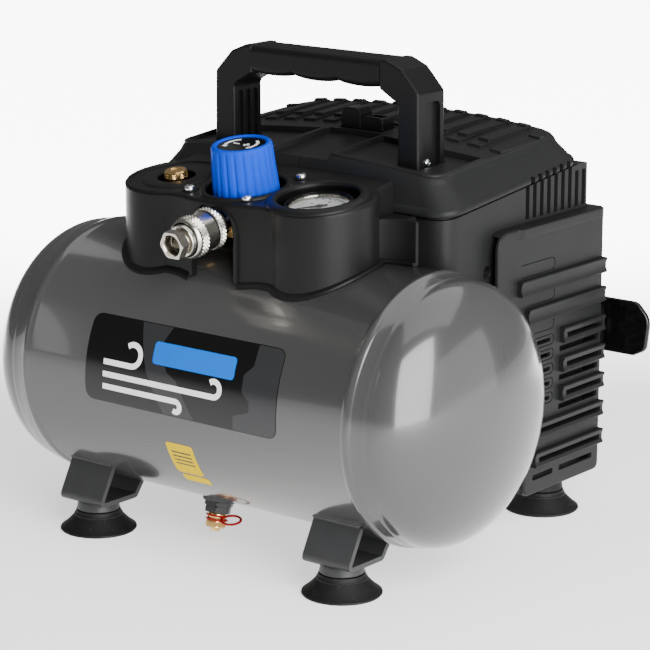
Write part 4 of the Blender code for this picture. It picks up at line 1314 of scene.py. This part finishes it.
def cover_rings():
    """Rings from the lip to the middle of the roof: half width, front, rear, corner and height."""
    rim = (COVER_X, COVER_FRONT, COVER_REAR)
    sides = [(0.9, 0.0), (0.2, 0.6), (0.0, 1.6), (0.2, 3.0), (1.0, 4.3), (2.4, 5.2)]
    rings = [cover_ring(rim[0] - s, rim[1] + s, rim[2] - s, 16 - s / 2, lambda x, y, up=up: lip(y) + up)
             for s, up in sides]
    edge = [(2.6, 5.2), (1.6, 2.6), (0.7, 1.1), (-0.7, 0.3), (-2.4, 0.0)]
    rings += [cover_ring(ROOF_X + s, 35 - s, 162 + s, 15, lambda x, y, down=down: roof(x, y) - down)
              for s, down in edge]
    rings += [cover_ring(ROOF_X * share, 98.5 - 63 * share, 98.5 + 63 * share, 13 * share, roof)
              for share in (0.8, 0.6, 0.4, 0.2)]
    return rings


def cover_skin():
    inner = [cover_ring(COVER_X - WALL, COVER_FRONT + WALL, COVER_REAR - WALL, 13, lambda x, y: lip(y)),
             cover_ring(COVER_X - WALL, COVER_FRONT + WALL, COVER_REAR - WALL, 13, lambda x, y: lip(y) + 4),
             cover_ring(ROOF_X - WALL, 38, 158, 12, lambda x, y: roof(x, y) - 9),
             cover_ring(ROOF_X * 0.3, 80, 118, 4, lambda x, y: roof(x, y) - 9)]
    return skin(cover_rings()[::-1] + inner)


def panel_outline(sign, grow=0.0):
    """The sunk panel beside the channel: a large round corner at the front outside, small ones elsewhere."""
    inner, outer, front, rear = 24.0 - grow, 98.0 + grow, PANEL_FRONT - grow, 83.5 + grow
    corners = [(inner, front), (outer, front), (outer, rear), (inner, rear)]
    return [(sign * x, y) for x, y in soften(corners, [1.5, 9 + grow, 2, 1.5], 8)]


def panel_floor(x, y):
    """The panel sinks a little deeper towards its rear."""
    return roof(x, y) - 1.2 - 0.035 * (y - PANEL_FRONT)


def lip_notch(sign, k):
    """The lip is notched above a slot."""
    front = SLOT_FRONT + SLOT_PITCH * k
    outline = box_outline(front - 0.2, front + SLOT_WIDTH + 0.2, lip(front) - 4, lip(front) + 4.4, 2.0)
    return along_x(outline, *sideways(sign, COVER_X - 6, COVER_X + 6))


def top_cover():
    cover = Shape(cover_skin())
    for sign in (-1, 1):
        raised = upright(panel_outline(sign, 2.4), lambda x, y: roof(x, y) - 1, lambda x, y: roof(x, y) + 1)
        cover.join(Shape(raised).bevel(0.8, 3, 50).solid())
        cover.cut(upright(panel_outline(sign), panel_floor, lambda x, y: roof(x, y) + 9))
        foot = sideways(sign, POST_IN - 0.5, POST_OUT + 0.5)
        cover.cut(block(*foot, POST_FRONT - 0.5, POST_REAR + 0.5, 190, 290))
    channel = [(-21.5, 20), (21.5, 20), (21.5, 89), (-21.5, 89)]
    cover.cut(upright(channel, lambda x, y: ROOF_FRONT + SLOPE * y - 3.6, lambda x, y: 260))
    cover.cut(block(-SWITCH_X - 1, SWITCH_X + 1, SWITCH_FRONT - 1, SWITCH_REAR + 1, 200, 280))
    cover.cut(upright([(-0.35, 20), (0.35, 20), (0.35, 90), (-0.35, 90)], 190, 234.5))
    cover.cut(merged(*[lip_notch(sign, k) for sign in (-1, 1) for k in range(NOTCH_COUNT)]))
    cover.piece("cover", HOUSING, "housing_plastic", replaces=["top_cover"], smooth=30)


top_cover()
print("cover rises to", round(roof(0, COVER_REAR), 1), "mm")

# %% [markdown]
# ### Roof ribs
# The rear of the roof is ribbed in two tiers: broad low ribs, and a narrower ridge that starts a
# little further back on each of them. A rib is drawn from the side, so that its rear end bends down
# over the edge, and the tree for roofs sets it down in a row, leaned with the roof.

# %% Roof ribs
RIB_STEP = 16.0


def rib(front, rear, base, rise, width):
    """A rib along y whose rear end bends down; front and rear are measured from its foot."""
    bend = soften([(rear - 9, rise), (rear - 2, rise), (rear, base)], 4, 6)[1:]
    side = along_x([(front, base), (front, rise)] + bend, -width / 2, width / 2)
    return Shape(side).bevel(0.7, 2, 40).solid()


def roof_row(name, template, count, left, front):
    grown = OVER_ROOF.grow(template, HOUSING, Count=count, Rows=1, Left=left, Step=RIB_STEP, Front=front,
                           Row_step=0.0, Stagger=0.0, Height=ROOF_FRONT, Slope=SLOPE, Crown=FALL)
    grown.piece(name, HOUSING, "housing_plastic", smooth=30)


for side, left, outermost in (("left", -80.0, -96.0), ("right", 32.0, 96.0)):
    roof_row(f"roof_low_ribs_{side}", rib(0, 59, -4, 1.5, 9.4), 4, left, 101)
    roof_row(f"roof_ridges_{side}", rib(0, 47, -2, 3.0, 7.4), 4, left, 111)
    roof_row(f"roof_outer_rib_{side}", rib(0, 48, -5, 1.3, 8.4), 1, outermost, 101)
roof_row("roof_low_ribs_middle", rib(0, 50, -4, 1.5, 9.4), 3, -16, 110)
roof_row("roof_ridges_middle", rib(0, 44, -2, 3.0, 7.4), 3, -16, 114)
print("roof ribs every", RIB_STEP, "mm")

# %% [markdown]
# ## Rear shell
# The wider shell behind carries ribs on its sides. The upper two are plain; the others have a slot
# along them, with more slots between. A column of tongue-shaped pockets runs down in front of them.
# The ribs stick out and their faces are a little hollow.

# %% Rear shell
RIB_PITCH, RIB_HIGH = 18.5, 9.5
PLAIN_RIBS = [(92.2, 163.0), (100.6, 163.0 - RIB_PITCH)]
SLOTTED_RIBS = [(139.0, 126.0), (139.0, 107.5), (139.0, 89.0), (108.0, 70.5), (110.4, 52.0)]
POCKET_REAR = 132.0


def side_rib(front, top):
    """Section in x and z, run along y."""
    low = top - RIB_HIGH
    section = [(118, low), (123.5, low), (124, low + 0.5), (124, low + 1.2), (123.1, low + 3),
               (123.1, top - 3), (124, top - 1.2), (124, top - 0.5), (123.5, top), (118, top)]
    return along_y(section, front, SHELL_REAR - 1.2)


def side_cut(y0, y1, z0, z1, depth, radius):
    return along_x(box_outline(y0, y1, z0, z1, radius, 4), SHELL_X - depth, SHELL_X + 6)


def tongue(front, middle, slotted):
    """Engraved outline of a pocket that is round at its rear; some have a slot inside."""
    high = 3.9 if not slotted else 3.2
    low, top = middle - high, middle + high
    path = [(front, low), (POCKET_REAR, low), (POCKET_REAR, top), (front, top)]
    cuts = [along_x(thicken(path, 0.7, bend=high), SHELL_X - 0.7, SHELL_X + 2)]
    if slotted:
        cuts.append(side_cut(front, POCKET_REAR - 3.2, middle - 1.4, middle + 1.2, 4, 1.2))
    return cuts


def side_cuts():
    """All the cuts of the right side."""
    cuts = []
    for k, front in enumerate((96.0, 104.0, 108.0)):
        cuts += tongue(front, 168.2 - RIB_PITCH * k, False)
    for k in range(5):
        cuts += tongue(108.0, 120.6 - RIB_PITCH / 2 * k, True)
    for front, top in SLOTTED_RIBS:
        cuts.append(side_cut(front + 4, SHELL_REAR - 4, top - 6.6, top - 3.4, 4, 0.6))
    for top in (126.0, 107.5, 89.0):
        cuts.append(side_cut(139, SHELL_REAR - 4, top - RIB_HIGH - 6.0, top - RIB_HIGH - 2.4, 4, 0.6))
    for front, rear in ((112, 134), (141, 178)):
        cuts.append(side_cut(front, rear, 33.5, 37.0, 4, 1.2))
    return merged(*cuts)


def side_ribs():
    return merged(*[side_rib(*place) for place in PLAIN_RIBS + SLOTTED_RIBS])


def both_flanks(make):
    """A solid on the right flank and its mirror image on the left."""
    left = moved(make(), Matrix.Scale(-1, 4, (1, 0, 0)))
    bmesh.ops.reverse_faces(left, faces=left.faces)
    return merged(make(), left)


def rear_shell():
    outline = [(SHELL_REAR, SHELL_LOW), (SHELL_REAR, SHELL_HIGH), (72, SHELL_HIGH), (72, 152), (103, 60),
               (103, SHELL_LOW)]
    outline = soften(outline, [5, 2, 12, 14, 14, 6], 8)
    shell = Shape(along_x(outline, -SHELL_X, SHELL_X)).bevel(3.2, 4, 50)
    rim = Shape(upright(box_outline(-121.6, 121.6, 90, 187.8, 8), 188.4, SHELL_HIGH - 0.3)).bevel(0.9, 2, 50)
    shell.join(rim.solid())
    shell.join(both_flanks(side_ribs))
    shell.cut(block(WALL - SHELL_X, SHELL_X - WALL, 60, SHELL_REAR - WALL, 0, SHELL_HIGH - WALL))
    shell.cut(upright(house_outline(0.6), 150, 230), both_flanks(side_cuts))
    shell.piece("rear_shell_ribbed", HOUSING, "housing_plastic", replaces=["rear_shell"], smooth=30)


rear_shell()
print("rear shell with", len(PLAIN_RIBS + SLOTTED_RIBS), "ribs a side")

# %% [markdown]
# ## Carrying handle
# Two posts with cut-off corners carry the grip. A wide flute runs down the outside of a post, with a
# screw low in it, and three narrow ones run down its inside. The grip is a skin whose section has
# grooves on top, and whose underside swells into three bumps for the fingers.

# %% Handle
HANDLE_MIDDLE = (POST_FRONT + POST_REAR) / 2
POST_LOW, GRIP_LOW, GRIP_TOP, GRIP_X = 216.0, 279.0, 295.6, 50.0
FLUTE_DEPTH = 3.6


def post(sign):
    """One post with its half of the corner, in x and z, run along y."""
    outline = [(POST_OUT, POST_LOW), (POST_OUT - 0.8, 278), (66, 291.5), (55, 296), (49.5, 296),
               (49.5, GRIP_LOW - 0.6), (POST_IN, 270.5), (POST_IN, POST_LOW)]
    outline = soften(outline, [0, 3, 3, 2, 0, 2, 4, 0], 4)
    made = Shape(along_y([(sign * x, z) for x, z in outline], POST_FRONT, POST_REAR)).bevel(2.4, 3, 50)
    wide = box_outline(HANDLE_MIDDLE - 8.6, HANDLE_MIDDLE + 8.6, 150, 272, 4)
    made.cut(along_x(wide, *sideways(sign, POST_OUT - FLUTE_DEPTH, 90)))
    for middle in (HANDLE_MIDDLE - 7, HANDLE_MIDDLE, HANDLE_MIDDLE + 7):
        narrow = box_outline(middle - 2.3, middle + 2.3, 150, 266, 2)
        made.cut(along_x(narrow, *sideways(sign, 50, POST_IN + 2.2)))
    return made.bevel(0.5, 2, 50).solid()


def finger_wave(x):
    """How far the underside hangs down: three bumps along the grip."""
    return 2.4 * math.sqrt(abs(math.cos(3 * math.pi * x / (2 * GRIP_X + 2))))


def grip_section(x):
    """Ring of the grip in y and z: grooves along the top, round corners, a wavy underside."""
    low = GRIP_LOW + 1.6 - finger_wave(x)
    ring = []
    for k in range(41):
        y = POST_REAR - 4 - (POST_REAR - POST_FRONT - 8) * k / 40
        groove = max(0.0, math.cos(2 * math.pi * (y - HANDLE_MIDDLE) / 6.3) - 0.55) / 0.45
        ring.append((x, y, GRIP_TOP - 0.8 * groove))
    ring += [(x, y, z) for y, z in arc((POST_FRONT + 4, GRIP_TOP - 4), 4, 90, 180, 6)[1:]]
    ring += [(x, y, z) for y, z in arc((POST_FRONT + 4, low + 4), 4, 180, 270, 6)]
    ring += [(x, y, z) for y, z in arc((POST_REAR - 4, low + 4), 4, 270, 360, 6)]
    return ring + [(x, y, z) for y, z in arc((POST_REAR - 4, GRIP_TOP - 4), 4, 0, 90, 6)[:-1]]


def handle():
    piece("handle_posts", merged(post(-1), post(1)), HANDLE, "handle_plastic", replaces=["handle_frame"],
          smooth=40)
    stations = [GRIP_X * (k / 60 - 1) for k in range(121)]
    piece("handle_grip_ribbed", skin([grip_section(x) for x in stations]), HANDLE, "handle_plastic",
          replaces=["handle_grip"], smooth=50)
    for side, sign in SIDES.items():
        foot = at(sign * (POST_OUT - FLUTE_DEPTH), HANDLE_MIDDLE, 235) @ rotation(sign * 90, "Y")
        screws(f"handle_screw_{side}", [(0, 0, 0)], 2.6, 1.4, TANK @ foot)


handle()
print("handle top at", span("handle_frame")[1].z)

# %% [markdown]
# ## Switch, hooks and cable inlet
# The switch is pulled up: a tall rounded half and a lower half. Behind, two glossy hooks hold a
# wound-up cable, and the inlet for it has a ribbed sleeve.

# %% Switch, hooks and cable inlet
HOOK_REAR = 200.0


def switch():
    tall = along_y(soften([(-SWITCH_X, 226), (-1, 226), (-1, 252), (-4, 255.6), (-SWITCH_X, 255.6)],
                          [1, 1, 1, 2, 9], 7), SWITCH_FRONT, SWITCH_REAR)
    low = along_y(soften([(-1.4, 226), (SWITCH_X, 226), (SWITCH_X, 251), (-1.4, 251)], [1, 1, 4, 1], 5),
                  SWITCH_FRONT + 0.8, SWITCH_REAR - 0.8)
    knob_shape = Shape(tall).bevel(1.1, 3, 50)
    knob_shape.join(Shape(low).bevel(0.9, 3, 50).solid())
    knob_shape.cut(along_x(box_outline(SWITCH_FRONT + 3, SWITCH_REAR - 3, 248.6, 262, 1.2), 3, 13))
    knob_shape.piece("switch_pull", BLACK, "black_plastic", body="switch_knob", replaces=["switch_knob"],
                     smooth=40)


def hook(side, sign):
    lip_outline = soften([(103, 99), (137, 99), (146, 103.5), (148.4, 124), (139, 134), (103, 134)],
                         [2, 6, 6, 12, 8, 2], 8)
    plate = Shape(along_y([(sign * x, z) for x, z in lip_outline], HOOK_REAR - 3.8, HOOK_REAR))
    plate.bevel(1.4, 4, 50)
    arm = soften([(103, 104), (116, 104), (116, 130), (103, 130)], 3, 5)
    plate.join(along_y([(sign * x, z) for x, z in arm], SHELL_REAR + 0.3, HOOK_REAR - 2))
    dish = soften([(113, 104), (138, 103.5), (143, 112), (142, 123), (136, 129.5), (113, 129.5)], 6, 6)
    plate.cut(along_y([(sign * x, z) for x, z in dish], HOOK_REAR - 5, HOOK_REAR - 3.0))
    plate.bevel(0.5, 2, 50).piece(f"cord_hook_moulded_{side}", GLOSS, "gloss_plastic",
                                  replaces=[f"cord_hook_{side}"], smooth=40)


def cable_inlet():
    low, high = span("cable_inlet")
    rings = [(0, 0), (9.4, 0), (10, 0.6), (10, 2.4), (9.4, 3.0), (7.5, 3.1)]
    for k in range(4):
        thin, along = 0.2 * k, 1.3 * k
        rings += [(7.3 - thin, 3.8 + along), (6.5 - thin, 4.1 + along), (6.5 - thin, 4.7 + along)]
    rings += [(6.4, 8.6), (6.2, 9.0), (3.5, 9.0), (3.5, 3), (0, 3)]
    place = at((low.x + high.x) / 2, SHELL_REAR + 0.3, (low.z + high.z) / 2) @ rotation(-90, "X")
    piece("cable_inlet_sleeve", turned(rings, 48), BLACK, "black_plastic", replaces=["cable_inlet"],
          place=TANK @ place)


switch()
for side, sign in SIDES.items():
    hook(side, sign)
cable_inlet()
print("rear fittings done")

# %% [markdown]
# ## Parts that are right as they are
# The motor, the pump, the fittings inside and the gauge's lens keep the frame's own solids. They only
# need their finishes, which are handed out by name.

# %% Finishes for the frame's own parts
INNER = {STEEL: ["base_plate", "tank_strut_left", "tank_strut_right", "motor_cradle", "front_bearing",
                 "rear_bearing", "crank_disc", "valve_plate"],
         CAST: ["regulator_bonnet", "motor_end_bracket", "crankcase", "piston_rod", "cylinder_sleeve",
                "cylinder_head"],
         IRON: ["motor_stator"], COPPER: ["motor_rotor", "delivery_tube"], FELT: ["intake_filter"],
         BRASS: ["tank_nipple", "manifold", "check_valve", "safety_valve_body"],
         BLACK: ["cooling_fan", "switch_body"], LENS: ["gauge_lens"]}


def dress(node, look):
    """Gives a CAD node its finish without touching its mesh."""
    made = frame["nodes"][node]
    made.data.materials.clear()
    made.data.materials.append(look)


for look, nodes in INNER.items():
    for node in nodes:
        dress(node, look)
print("dressed", sum(len(nodes) for nodes in INNER.values()), "of the frame's parts")

# %% [markdown]
# ## Studio
# A wide pale floor that glows behind the compressor, large soft lights and a long lens, as for a
# catalogue picture. The camera stands to the right of the tank, a little above it.

# %% Floor, lights and camera
AIM_LIFT = 0.16
FLOOR_GLOW, NEAR_GLOW, SKY = 9.0, 0.11, 0.2
CAMERA_AZIMUTH, CAMERA_RISE = 0.6771, 0.2413
CAMERA_PLACE = (1.0086, -1.2556, 0.5211)


def along(look, direction):
    """How far a point of the floor lies in a direction, in metres."""
    given = {0: look.place, 1: direction}
    return look.node("ShaderNodeVectorMath", {"operation": "DOT_PRODUCT"}, given, output=1)


def ramp(look, value, start, end):
    """Goes smoothly from 0 to 1 as a value goes from start to end."""
    return look.node("ShaderNodeMapRange", {"interpolation_type": "SMOOTHSTEP"},
                     {"Value": value, "From Min": start, "From Max": end})


def floor():
    """A pale disc that glows brightly behind the compressor and faintly elsewhere."""
    mesh = bmesh.new()
    bmesh.ops.create_circle(mesh, cap_ends=True, segments=96, radius=14.0)
    data = bpy.data.meshes.new("floor")
    mesh.to_mesh(data)
    mesh.free()
    made = bpy.data.objects.new("floor", data)
    bpy.context.scene.collection.objects.link(made)
    look = Look("pale_floor", (0.8, 0.8, 0.8), 0.8, Specular_IOR_Level=0.1, Emission_Strength=FLOOR_GLOW)
    behind = ramp(look, along(look, (-0.627, 0.779, 0)), 0.25, 0.9)
    across = along(look, (0.779, 0.627, 0))
    aside = ramp(look, across.math("ABSOLUTE", across, 0), 0.4, 1.2)
    share = behind * (1 - aside) * (1 - NEAR_GLOW) + NEAR_GLOW
    look.set("Emission Color", look.mix(share, (0, 0, 0, 1), (1, 1, 1, 1)))
    look.gloss(look.noise(60), 0.05)
    data.materials.append(look.material)


def around(azimuth, rise, distance):
    """A place in a direction seen from the compressor; angles in degrees, from +x."""
    a, e = math.radians(azimuth), math.radians(rise)
    return distance * Vector((math.cos(e) * math.cos(a), math.cos(e) * math.sin(a), math.sin(e)))


def soft_light(name, place, aim, width, height, power):
    light = bpy.data.lights.new(name, "AREA")
    light.shape, light.size, light.size_y, light.energy = "RECTANGLE", width, height, power
    made = bpy.data.objects.new(name, light)
    bpy.context.scene.collection.objects.link(made)
    made.location = place
    made.rotation_euler = (Vector(aim) - Vector(place)).to_track_quat("-Z", "Y").to_euler()


def camera():
    lens = bpy.data.cameras.new("camera")
    lens.lens, lens.sensor_width = 148.0, 36.0
    lens.shift_x, lens.shift_y = 0.001, -0.0003
    made = bpy.data.objects.new("camera", lens)
    bpy.context.scene.collection.objects.link(made)
    made.location = CAMERA_PLACE
    made.rotation_euler = (math.pi / 2 - CAMERA_RISE, 0, CAMERA_AZIMUTH)
    bpy.context.scene.camera = made


def studio():
    """A large softbox and a weak fill to the right, a thin strip to the left, a light from above."""
    floor()
    middle = (0, 0, AIM_LIFT)
    soft_light("key_softbox", around(-25, 24, 1.7), middle, 1.3, 1.7, 85)
    soft_light("right_fill", around(22, 12, 1.6), middle, 1.2, 0.9, 5)
    soft_light("left_strip", around(-112, 22, 1.7), middle, 0.12, 1.0, 0.8)
    soft_light("top_light", around(60, 78, 2.0), middle, 2.2, 2.2, 25)
    world = bpy.data.worlds.new("studio")
    world.use_nodes = True
    world.node_tree.nodes["Background"].inputs["Color"].default_value = (1, 1, 1, 1)
    world.node_tree.nodes["Background"].inputs["Strength"].default_value = SKY
    bpy.context.scene.world = world
    camera()


studio()
print("studio ready")

# %% [markdown]
# The visual model has to keep to the frame's box.
